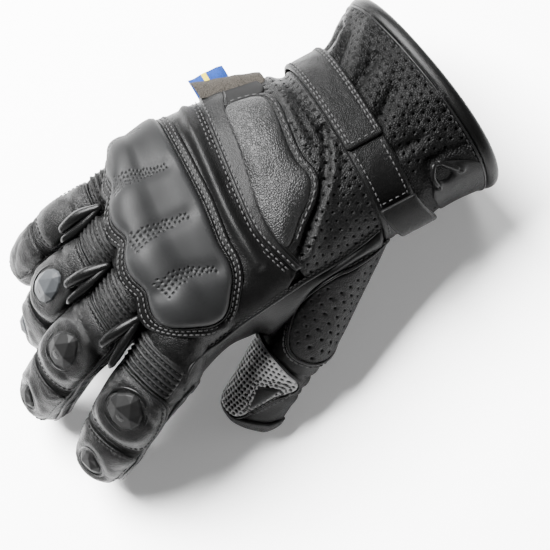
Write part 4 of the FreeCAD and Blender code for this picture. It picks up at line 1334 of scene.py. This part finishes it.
def make_armour(name, label, centre, share, material, body, level, node):
    """A faceted stone in a stitched, rolled surround."""
    skin = FINGER[name]
    sides = 12
    turn = (np.arange(sides) + 0.5) * 2 * math.pi / sides
    points = [skin.lifted(stone_ring(turn, scale * share) + centre, high * share + level)
        for scale, high in ((1.0, -1.2), (1.0, 0.6), (0.88, 1.4))]
    tops = np.array([(0, -0.24 * ARMOUR_LONG), (-0.2 * ARMOUR_WIDE, 0.1 * ARMOUR_LONG),
            (0.2 * ARMOUR_WIDE, 0.1 * ARMOUR_LONG)])
    points = np.concatenate(points + [skin.lifted(tops * share + centre,
                np.array([2.5, 3.1, 3.1]) * share + level)])
    faces = quads(3, sides) + [tuple(range(sides))]
    above = [0 if math.cos(t) > 0.6 else 1 if math.sin(t) < 0 else 2 for t in turn]
    for k in range(sides):
        after = (k + 1) % sides
        corners = [2 * sides + k, 2 * sides + after, 3 * sides + above[after], 3 * sides + above[k]]
        faces.append(tuple(dict.fromkeys(corners)))
    faces.append((3 * sides, 3 * sides + 1, 3 * sides + 2))
    stone = outward(build(f"{name}_{label}", points, faces, material, body, smooth=False))
    soften_edges(stone, 0.00025)
    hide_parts(node)
    rim = grown(spread_closed(teardrop(share, centre), 0.8), 1.3)
    outer = grown(spread_closed(teardrop(share, centre), 0.8), 2.5)
    piping(f"{name}_{label}_surround", skin, [rim], 0.8, "ridge", body,
        level=level + 0.1, closed=True)
    stitches(f"{name}_{label}_stitches", skin, [looped(outer)], "dark_thread", body,
        level=level - 0.1, pitch=1.9, length=1.3, radius=0.32)


def soften_edges(piece, width):
    """Round a piece's sharp edges for good, applying the bevel to its mesh."""
    bevel = piece.modifiers.new("bevel", "BEVEL")
    bevel.width, bevel.segments, bevel.limit_method = width, 2, "ANGLE"
    bevel.angle_limit = math.radians(12)
    graph = bpy.context.evaluated_depsgraph_get()
    mesh = bpy.data.meshes.new_from_object(piece.evaluated_get(graph))
    piece.modifiers.clear()
    piece.data = mesh


def make_finger_back(name):
    skin = FINGER[name]
    seam = skin.seam
    start = ACCORDION[name][1] + 1
    bend = finger_bend(name, "middle")
    wide = 12.6 if name != "little" else 10.6
    outline = about(name, curve([(-wide * 0.82, start + 1), (-wide * 0.3, start),
                (wide * 0.4, start + 0.3), (wide * 0.88, start + 1.4), (wide, start + 9),
                (wide * 1.02, seam - 12), (wide * 0.95, seam - 4), (wide * 0.5, seam - 2.6),
                (-wide * 0.5, seam - 2.6), (-wide * 0.95, seam - 4.2), (-wide, seam - 12),
                (-wide, start + 9)], CELL, True))
    gem_row = skin.bone_a - GEM_BACK.get(name, 0)
    gem = np.array([pad_centre(name, gem_row), gem_row])
    inner = grown(softened(outline, 2), -1.5)
    armoured = name in ARMOURED

    def shape(uv):
        height = 0.45 * rumple(uv, 6, 50 + len(name)) + 0.5 * creased(uv, 14, 55 + len(name))
        height += groove(uv, looped(inner), 0.7, 0.5)
        height += groove(uv, about(name, curve([(-wide, start + 12), (0, start + 9.5),
                    (wide, start + 12)])), 1.6, 0.7)
        if armoured:
            away = distance(uv, teardrop(1.0, gem), True)
            height += 0.9 * np.exp(-((away - 4.0) / 2.0) ** 2) - 0.6 * np.exp(-(away / 1.3) ** 2)
        return height

    pad = patch(f"{name}_back_leather", skin, softened(outline, 2), "finger", bend,
        level=0.3, rise=1.0, edge=1.1, crown=0.8, crown_reach=7, skirt=1.5, cell=0.95, swell=0.8,
        shape=shape, stands=(f"{name}_back_pad",))
    piping(f"{name}_back_piping", skin, [grown(softened(outline, 2), 0.4)], 0.6, "fourchette", bend,
        level=0.4, closed=True)
    stitches(f"{name}_back_stitches", skin, [looped(inner)], "dark_thread", bend,
        level=1.55, pitch=2.2, length=1.6, radius=0.3)
    flex = about(name, [(-wide, seam - 2.4), (wide, seam - 2.4), (wide, seam + 2.4),
            (-wide, seam + 2.4)])
    patch(f"{name}_flex_leather", skin, spread_closed(flex, 0.8), "finger", bend,
        level=-0.1, rise=0.6, edge=0.6, cell=0.55, stands=(f"{name}_flex_seam",),
        shape=lambda uv: 0.9 * rib_wave(uv[:, 1], seam - 1.6, 1.6))
    end = skin.end - 7.5
    narrow = wide * 0.8
    tip_outline = about(name, curve([(-wide * 0.9, seam + 2.6), (0, seam + 2.2),
                (wide * 0.9, seam + 2.6), (wide * 0.98, seam + 9), (narrow, end - 3),
                (narrow * 0.5, end), (-narrow * 0.5, end), (-narrow, end - 3),
                (-wide * 0.98, seam + 9)], CELL, True))
    small_row = skin.bone_a + skin.bone_b + skin.bone_c * 0.22
    small = np.array([pad_centre(name, small_row), small_row])

    def tip_shape(uv):
        height = 0.4 * rumple(uv, 5, 60 + len(name)) + 0.45 * creased(uv, 11, 65 + len(name))
        if armoured:
            away = distance(uv, teardrop(SMALL_ARMOUR, small), True)
            height += 0.7 * np.exp(-((away - 3.4) / 1.6) ** 2) - 0.5 * np.exp(-(away / 1.2) ** 2)
        return height

    patch(f"{name}_tip_back_leather", skin, softened(tip_outline, 2), "finger", f"{name}_tip",
        level=0.2, rise=0.9, edge=1.0, crown=0.9, crown_reach=6, skirt=1.5, cell=0.95,
        shape=tip_shape)
    inner = grown(softened(tip_outline, 2), -1.4)
    stitches(f"{name}_tip_stitches", skin, [looped(inner)], "dark_thread", f"{name}_tip",
        level=1.3, pitch=2.2, length=1.6, radius=0.3)
    if armoured:
        stone = "armour_grey" if name == "ring" else "armour"
        make_armour(name, "armour_stone", gem, 1.0, stone, f"{name}_base", 1.5, f"{name}_armour")
        make_armour(name, "tip_stone", small, SMALL_ARMOUR, stone, f"{name}_tip", 1.2,
            f"{name}_tip_armour")


def make_fourchettes(name):
    """Piped seams down both sides of a finger, where its side strips are sewn in."""
    skin = FINGER[name]
    split = skin.bone_a * 0.5
    for part, start, end in (("base", 14, split), ("tip", split, skin.end - 6)):
        bend = finger_bend(name, "knuckle" if part == "base" else "middle")
        vs = np.linspace(start, end, 12)
        lines = []
        for side in (-1, 1):
            for turn in (0.47, 0.66):
                u = side * turn * skin.half_round(vs) * (1 + 0.03 * np.sin(vs / 4 + side))
                lines.append(joined(u, vs))
        piping(f"{name}_{part}_side_piping", skin, lines, 0.75, "fourchette", bend,
            level=0.25, sides=8)


# Each web's V of two rolled arms: where they meet, then the middle and end of each finger's arm.
RIDGES = {
    "ridge_index_middle": ((-25.9, 114.4, 8), {"middle": ((-25, 124.6, 3.4), (-23.9, 134, -4)),
                                               "index": ((-29.9, 124.6, 1.4), (-33.2, 134.8, -7.6))}),
    "ridge_middle_ring": ((0.5, 114.6, 9.5), {"ring": ((3.9, 124.6, 5), (7.1, 134.7, -3.6)),
                                              "middle": ((-0.3, 125.2, 3.4), (0.6, 137.2, -5.8))}),
    "ridge_ring_little": ((26.1, 105.9, 9), {"little": ((29.4, 115.9, 3.6), (30.6, 125.3, -4.6)),
                                             "ring": ((25, 115.9, 2.8), (26.4, 126.8, -5))}),
}
RIDGE_HALF = 2.7
RIDGE_SIDES = 16


def make_ridges():
    """Two rolled arms from each web, one following each finger beside it."""
    for node, (apex, arms) in RIDGES.items():
        for order, (name, (middle, end)) in enumerate(arms.items()):
            places = curve([apex, middle, end], 0.8)
            share = np.linspace(0, 1, len(places))
            ups = np.tile(unit((-0.15, 0.3, 0.95)), (len(places), 1))
            fullness = 0.42 + 0.58 * np.sin(np.pi * np.clip(share * 0.8 + 0.05, 0, 1))
            thick = RIDGE_HALF * (1 - 0.2 * order) * fullness
            thick *= np.clip(np.sqrt((1 - share) * 14), 0.35, 1) * np.clip(np.sqrt(share * 40), 0.5, 1)
            points, faces = cord_mesh(places, ups, thick, 1.0, RIDGE_SIDES)
            build(f"{node}_{name}_arm", points, faces, "ridge", finger_bend(name, "knuckle"),
                stands=(node,))


# ---------------------------------------------------------------- thumb
def make_thumb():
    half = THUMB.half_round(10)
    us = np.linspace(-half, half, 110, endpoint=False)
    split = (THUMB.knuckle + THUMB.middle) / 2
    creases = [curve([(8, v), (-4, v + 2.5), (-16, v + lean)])
        for v, lean in ((50, 1), (55, 5), (60, 2))]

    def folds(uv):
        at_joints = sum(np.exp(-((uv[:, 1] - place) / 6) ** 2)
            for place in (THUMB.knuckle, THUMB.middle))
        under = smooth_step((np.abs(uv[:, 0]) / half - 0.3) / 0.4)
        height = 0.5 * np.cos(uv[:, 1] * 1.2 + rumple(uv, 9, 2)) * under * at_joints
        height = height + 0.4 * rumple(uv, 7, 71)
        height += sum(groove(uv, line, 1.2, 1.1) for line in creases)
        return height + 0.6 * creased(uv, 12, 72) * (1 - smooth_step((uv[:, 0] + 4) / 8))

    sleeve("thumb_base_leather", THUMB, us, rows(THUMB.ROOT, split, 1.1), folds, "back",
        thumb_bend("knuckle"), stands=("thumb_sleeve", "thumb_saddle",
            "thumb_base_crease"))
    sleeve("thumb_tip_leather", THUMB, us, rows(split, THUMB.end - 0.05, 1.0), folds, "back",
        thumb_bend("middle"), cap=True,
        stands=("thumb_tip_sleeve", "thumb_tip_crease"))


INSERT_OUTLINE = [(-18, -13), (-8, -5), (2, 8), (10, 22), (10.5, 32), (7, 40), (0, 43.5), (-9, 41),
    (-18, 35), (-25, 20), (-27, 4), (-24, -8)]
MESH_OUTLINE = [(31, 45), (20, 46), (10, 48), (2, 52), (-4, 57), (1, 63), (5, 72), (8, 79), (16, 80.5),
    (25, 80), (31, 74), (34, 60)]
TRIANGLE = [(0.5, 59), (8.5, 61.5), (6.5, 72.5)]


def make_thumb_panels():
    insert = softened(curve(INSERT_OUTLINE, CELL, True), 2)
    holes = lattice((-28, -12), (12, 44), 4.1)
    holes = holes[inside(holes, insert) & (distance(holes, insert, True) > 2.0)]
    patch("thumb_perforated_leather", THUMB, insert, ["perforated", "hole"], thumb_bend("knuckle"),
        level=1.2, rise=0.5, skirt=2.5, holes=holes, hole_radius=0.6,
        shape=lambda uv: 0.3 * rumple(uv, 9, 121), stands=("thumb_heel_insert",))
    rim = grown(insert, 0.7)
    piping("thumb_insert_piping", THUMB, [rim], 0.7, "piping", thumb_bend("knuckle"),
        level=1.5, closed=True)
    stitches("thumb_insert_stitches", THUMB, [grown(insert, 2.2)], "thread", thumb_bend("knuckle"),
        level=1.5, pitch=2.6)
    outline = softened(curve(MESH_OUTLINE, CELL, True), 2)
    patch("thumb_mesh_knit", THUMB, outline, "mesh", thumb_bend("middle"), level=0.2,
        rise=0.6, cell=0.4, shape=knit_relief, stands=("thumb_mesh_panel",))
    rim = grown(outline, 0.5)
    piping("thumb_mesh_piping", THUMB, [rim], 0.6, "fourchette", thumb_bend("middle"),
        level=0.6, closed=True)
    triangle = softened(spread_closed(np.array(TRIANGLE, float), 0.8), 2)
    patch("thumb_triangle_leather", THUMB, triangle, "strip", thumb_bend("middle"),
        level=1.0, rise=0.9, edge=0.9, skirt=1.2, cell=0.8)
    for label, out in (("inner", 1.0), ("outer", 2.6)):
        rim = grown(triangle, out)
        stitches(f"thumb_triangle_stitches_{label}", THUMB, [looped(rim)], "thread",
            thumb_bend("middle"), level=1.3, pitch=2.0, length=1.5, radius=0.38)
    end = THUMB.end
    tip = softened(curve([(32, end - 6), (16, end - 6.5), (2, end - 8), (-10, end - 12), (-16, end - 6),
                (-8, end - 3), (6, end - 2.2), (22, end - 2.2)], CELL, True), 2)
    patch("thumb_tip_leather_patch", THUMB, tip, "band", "thumb_tip", level=0.5,
        rise=0.8, shape=lambda uv: 0.5 * rumple(uv, 5, 131), stands=("thumb_tip_patch",))


def knit_relief(uv):
    """Open knit: slanting rows of small oval eyes between raised strands."""
    u, v = uv.T
    row = v / 1.75
    along = (u + 0.45 * v) / 2.1 + 0.5 * (np.floor(row) % 2)
    eye = np.hypot((row % 1 - 0.5) * 2.2, (along % 1 - 0.5) * 1.9)
    return smooth_step((eye - 0.35) / 0.5) - 0.6


def make_side_panel():
    """The smooth leather from the piped seam down to the thumb and the web."""
    index = FINGER["index"]
    rows_up = [9, 25, 41, 56, 70, 83, 94]
    seam = HAND.lifted([(seam_u(THUMB_SEAM, v), v) for v in rows_up], 0.1)
    seam = np.concatenate([seam, index.lifted([(-13, 6), (-14.5, 17)], 0.6)])
    lower = THUMB.lifted([(-12, -9), (0, 2), (9, 16), (12, 30), (17, 40), (25, 46)], 0.6)
    lower = np.concatenate([lower, [(-45, 76, -21), (-45, 86, -20), (-50, 100, -19), (-57, 115, -18)]])
    web("thumb_side_leather", curve(seam), curve(lower), lambda s: 2.2 - 1.2 * s, 1.2, "strip",
        ("hand", "thumb_base", np.array([-50, 50, -12]), np.array([-56, 58, -36])),
        stands=("thumb_side_panel",))
    line = joined(seam_u(THUMB_SEAM, np.linspace(9, 106, 60)), np.linspace(9, 106, 60))
    piping("thumb_side_piping", HAND, [line + (0.6, 0)], 1.0, "piping", WRIST_BEND,
        level=0.3)
    stitches("thumb_side_stitches", HAND, [line + (2.3, 0)], "dark_thread", WRIST_BEND,
        level=0.55, pitch=2.2, length=1.6)


# ---------------------------------------------------------------- cuff
CUFF_RIM = -41.5
CUFF_LINING = -3.4
# Dents below the strap and folds up the cuff: place across, lean and, for a dent, reach.
CUFF_DENTS = ((30, 5, 8), (12, 3, 12), (-9, 6, 9), (48, -4, 10), (-24, -3, 7), (75, 3, 12),
    (-80, 5, 10), (105, -4, 12))
CUFF_FOLDS = ((36, 10), (20, 9), (2, 3), (-16, -2), (62, 2), (90, 5), (-95, -4))


def make_cuff():
    outline = np.array([(-SKIN_HALF, CUFF_RIM), (SKIN_HALF, CUFF_RIM), (SKIN_HALF, 9), (-SKIN_HALF, 9)],
        float)
    dents = [curve([(u, -8), (u + lean * 0.5, -13), (u + lean, -13 - reach)])
        for u, lean, reach in CUFF_DENTS]
    folds = [curve([(u, -12), (u + 4, -24), (u + lean, -38)]) for u, lean in CUFF_FOLDS]
    slit = curve(HAND.dorsal([(-30, -20), (-30, -30), (-31, -38)]))

    def shape(uv):
        height = sum(groove(uv, line, 2.6, 1.9) for line in dents)
        height += sum(groove(uv, line, 3.5, -0.9) for line in folds)
        return height + groove(uv, slit, 2.0, 1.6) + 0.7 * rumple(uv, 8, 81) + 0.5 * creased(uv, 22, 82)

    holes = lattice((-122, -34.5), (122, -10), HOLE_PITCH)
    smooth_part = HAND.dorsal([(-30, -24)])[0, 0]
    holes = holes[(holes[:, 0] > smooth_part + 1) | (holes[:, 0] < smooth_part - 26)]
    patch("cuff_perforated_leather", HAND, outline, ["cuff", "hole"], "cuff",
        level=0.0, rise=0.2, holes=holes, hole_radius=0.68, shape=shape, stands=("cuff_shell",))
    sleeve("cuff_lining_cloth", HAND, round_skin(), rows(CUFF_RIM, 9, 2), CUFF_LINING, "lining", "cuff",
        stands=("cuff_lining",))
    rim = joined(round_skin(220), np.full(220, CUFF_RIM + 1.2))
    piping("cuff_binding_leather", HAND, [rim], 3.1, "binding", "cuff", level=-0.7,
        flat=0.66, sides=18, closed=True, stands=("cuff_binding",))
    lip = rim + (0, 3.6)
    piping("cuff_binding_lip", HAND, [lip], 0.55, "piping", "cuff", level=0.55,
        closed=True)
    seam = np.concatenate([rim, rim[:1] + (2 * SKIN_HALF, 0)]) + (0, 4.7)
    stitches("cuff_stitches", HAND, [seam], "dark_thread", "cuff", level=0.3,
        pitch=3.0, length=2.2, radius=0.4)


def make_gusset():
    lower = HAND.flank([(-19, -6)], -1)[0, 0]
    upper = HAND.dorsal([(-30, -24)])[0, 0]
    outline = np.array([(upper, -19), (upper - 5, -28), (upper - 10, -37), (lower - 2, -37),
            (lower, -18), ((upper + lower) / 2, -15.5)], float)
    corner = np.array([upper + 0.5, -21.0])
    low_corner = np.array([upper - 11.5, -18.5])
    tail_end = np.array([upper - 9.5, -29.0])
    ridges = [curve([corner, (corner + low_corner) / 2 + (0.6, 2.2), low_corner]),
        curve([corner, tail_end])]
    hollow = (corner + low_corner + tail_end) / 3

    def shape(uv):
        height = sum(groove(uv, line, 1.1, -3.2) for line in ridges)
        away = np.linalg.norm(uv - hollow, axis=1)
        return height - 3.2 * np.exp(-(away / 3.4) ** 2) + 0.2 * rumple(uv, 6, 91)

    patch("cuff_gusset_leather", HAND, softened(spread_closed(outline, 1.0), 4), "back", "cuff",
        level=0.3, rise=0.5, cell=0.9, shape=shape, stands=("cuff_gusset",))
    piping("cuff_gusset_mouth", HAND, [ridge[1:-1] for ridge in ridges], 1.1, "ridge", "cuff",
        level=2.3)


# ---------------------------------------------------------------- wrist strap
STRAP_HALF = 8.7
STRAP_SEAM = 6.3
TAIL_THICK = 1.7


def band_outline(start, end, half=STRAP_HALF):
    box = np.array([(start, -half), (end, -half), (end, half), (start, half)], float)
    return softened(spread_closed(box, 1.0), 1)


def make_strap():
    flap_end = HAND.dorsal([(-12, 0)])[0, 0]
    side = HAND.flank([(0, -5)], 1)[0, 0]
    edges = [np.array([(flap_end - 5, v), (side, v)], float) for v in (-STRAP_SEAM, STRAP_SEAM)]

    def strap_shape(uv):
        channels = sum(groove(uv, edge, 0.7, 0.45) for edge in edges)
        scars = sum(groove(uv, curve(line), 0.5, 0.35)
            for line in ([(6, -3), (13, -1.5), (20, -3)], [(9, 2), (18, 3.4)]))
        return channels + scars + 0.25 * rumple(uv, 6, 101)

    patch("wrist_strap_leather", HAND, band_outline(flap_end, side), "strap", "strap",
        level=2.0, rise=1.2, edge=1.0, skirt=0.5, solid=True, shape=strap_shape,
        stands=("wrist_strap",))
    lines = [np.array([(flap_end + 2.2, v), (side - 1, v)])
        for v in (-STRAP_SEAM, STRAP_SEAM, -7.5, 7.5)]
    lines.append(np.array([(flap_end + 2.2, -STRAP_SEAM), (flap_end + 2.2, STRAP_SEAM)]))
    stitches("wrist_strap_stitches", HAND, lines, "thread", "strap", level=3.05,
        pitch=2.6)
    patch("strap_hook_tape", HAND, band_outline(flap_end + 2, flap_end + 14, 6.5), "hook", "strap",
        level=1.75, rise=0.15, skirt=0.1, solid=True, stands=("strap_hook_patch",))
    patch("strap_loop_tape", HAND, band_outline(flap_end + 2, flap_end + 14, 6.5), "loop", "cuff",
        level=1.3, rise=0.25, skirt=0.3, solid=True, stands=("strap_loop_patch",))
    patch("strap_landing_leather", HAND, band_outline(-66, flap_end + 15), "band", "cuff",
        level=0.3, rise=0.9, edge=1.0, skirt=0.8, solid=True,
        shape=lambda uv: 0.2 * rumple(uv, 6, 111), stands=("strap_landing",))
    lines = [np.array([(-60, v), (flap_end - 1.5, v)]) for v in (-6.2, 6.2)]
    lines.append(np.array([(-42, -6), (-42, 6)]))
    stitches("strap_landing_stitches", HAND, lines, "thread", "cuff", level=1.15,
        pitch=2.6)
    patch("strap_anchor_leather", HAND, band_outline(-184, side - 2 * SKIN_HALF), "band", "cuff",
        level=0.6, rise=1.2, edge=1.0, skirt=0.8, solid=True,
        shape=lambda uv: 0.3 * rumple(uv, 6, 112), stands=("strap_anchor",))


def make_strap_tail():
    """The tongue's end past the keeper: turned back on itself, standing proud of the thumb side."""
    profile = curve([(-38.6, 19.5), (-42.2, 15.5), (-45.2, 11), (-46.9, 7.6), (-46.9, 5.8),
            (-45.6, 5.2), (-44.2, 7), (-42.2, 11)], 0.8)
    both = two_faced(profile, TAIL_THICK / 2)
    ys = np.linspace(-STRAP_HALF + 0.2, STRAP_HALF - 0.6, 22)
    slide = smooth_step((20 - both[:, 1]) / 22) * 7.0
    edge = np.minimum(ys - ys[0], ys[-1] - ys)
    rounding = 0.6 + 0.4 * np.sqrt(1 - (1 - np.clip(edge / 0.9, 0, 1)) ** 2)
    middle = np.concatenate([profile, profile[::-1]])
    points = np.array([(*(middle[k] + (both[k] - middle[k]) * r), y - slide[k])
            for y, r in zip(ys, rounding) for k in range(len(both))])
    points = points[:, [0, 2, 1]]
    faces = tube(len(ys), len(both), clockwise=True)
    tail = outward(build("strap_tail_leather", points, faces, "band", "cuff"))
    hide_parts("strap_tail")


make_linings()
make_back_panel()
make_palm_panel()
make_wrist_panel()
make_strip()
make_back_pad()
make_guard()
make_label()
for finger_name in FINGERS:
    make_finger_sleeves(finger_name)
    make_accordion(finger_name)
    make_finger_back(finger_name)
    make_fourchettes(finger_name)
make_ridges()
make_thumb()
make_thumb_panels()
make_side_panel()
make_palm_patch()
make_cuff()
make_gusset()
make_strap()
make_strap_tail()


# ---------------------------------------------------------------- camera, floor and light
# The photograph's view in the hand frame.
VIEW_RIGHT = unit((-0.477, -0.877, -0.060))
VIEW_UP = unit((0.803, -0.463, 0.375))
VIEW_BACK = unit((-0.357, 0.131, 0.925))
# Camera: how far it stands, what width it sees, and its aim from the wrist, right and up. All in mm.
CAMERA_FAR = 1050
FIELD = 233
AIM = (-33.0, -52.9)
SENSOR = 36
# Light from the white floor itself and from all round.
FLOOR_GLOW = 0.2
WORLD_GLOW = 0.12


def make_camera():
    lens = bpy.data.cameras.new("camera")
    lens.sensor_width = SENSOR
    lens.lens = SENSOR * CAMERA_FAR / FIELD
    lens.clip_start, lens.clip_end = 0.05, 20
    camera = bpy.data.objects.new("camera", lens)
    bpy.context.scene.collection.objects.link(camera)
    right, up, back = (TURN @ unit(v) for v in (VIEW_RIGHT, VIEW_UP, VIEW_BACK))
    back = unit(np.cross(right, up))
    up = np.cross(back, right)
    target = VIEW_RIGHT * AIM[0] + VIEW_UP * AIM[1]
    place = to_row(target + VIEW_BACK * CAMERA_FAR)[0]
    rotation = Matrix(np.column_stack([right, up, back]).tolist())
    camera.matrix_world = Matrix.Translation(Vector(place)) @ rotation.to_4x4()
    bpy.context.scene.camera = camera


def make_floor():
    bpy.ops.mesh.primitive_plane_add(size=6, location=(0, 0, 0))
    floor = bpy.context.object
    floor.name = "floor"
    n = Nodes("floor_paper")
    fine = n.noise(40, 3)
    paper = n.finish(n.blend(fine, (0.9, 0.9, 0.9, 1), (0.94, 0.94, 0.94, 1)), 0.8)
    n.shader.inputs["Emission Color"].default_value = (1, 1, 1, 1)
    n.shader.inputs["Emission Strength"].default_value = FLOOR_GLOW
    floor.data.materials.append(paper)


def area_light(name, towards, far, size, power):
    """A soft square light, placed by right, up and back shares of the photograph's view."""
    light = bpy.data.lights.new(name, "AREA")
    light.size, light.energy = size, power
    lamp = bpy.data.objects.new(name, light)
    bpy.context.scene.collection.objects.link(lamp)
    direction = TURN @ unit(VIEW_RIGHT * towards[0] + VIEW_UP * towards[1] + VIEW_BACK * towards[2])
    target = to_row((0, 60, 0))[0]
    lamp.location = Vector(target + direction * far)
    lamp.rotation_mode = "QUATERNION"
    lamp.rotation_quaternion = Vector(direction).to_track_quat("Z", "Y")


def make_light():
    area_light("key", (-0.62, 0.6, 0.6), 1.2, 0.85, 235)
    area_light("fill", (0.9, 0.1, 0.6), 1.4, 0.9, 3)
    area_light("rim", (0.1, 0.95, 0.35), 1.2, 0.4, 9)
    world = bpy.data.worlds.new("studio")
    world.use_nodes = True
    world.node_tree.nodes["Background"].inputs["Color"].default_value = (1, 1, 1, 1)
    world.node_tree.nodes["Background"].inputs["Strength"].default_value = WORLD_GLOW
    bpy.context.scene.world = world


make_camera()
make_floor()
make_light()
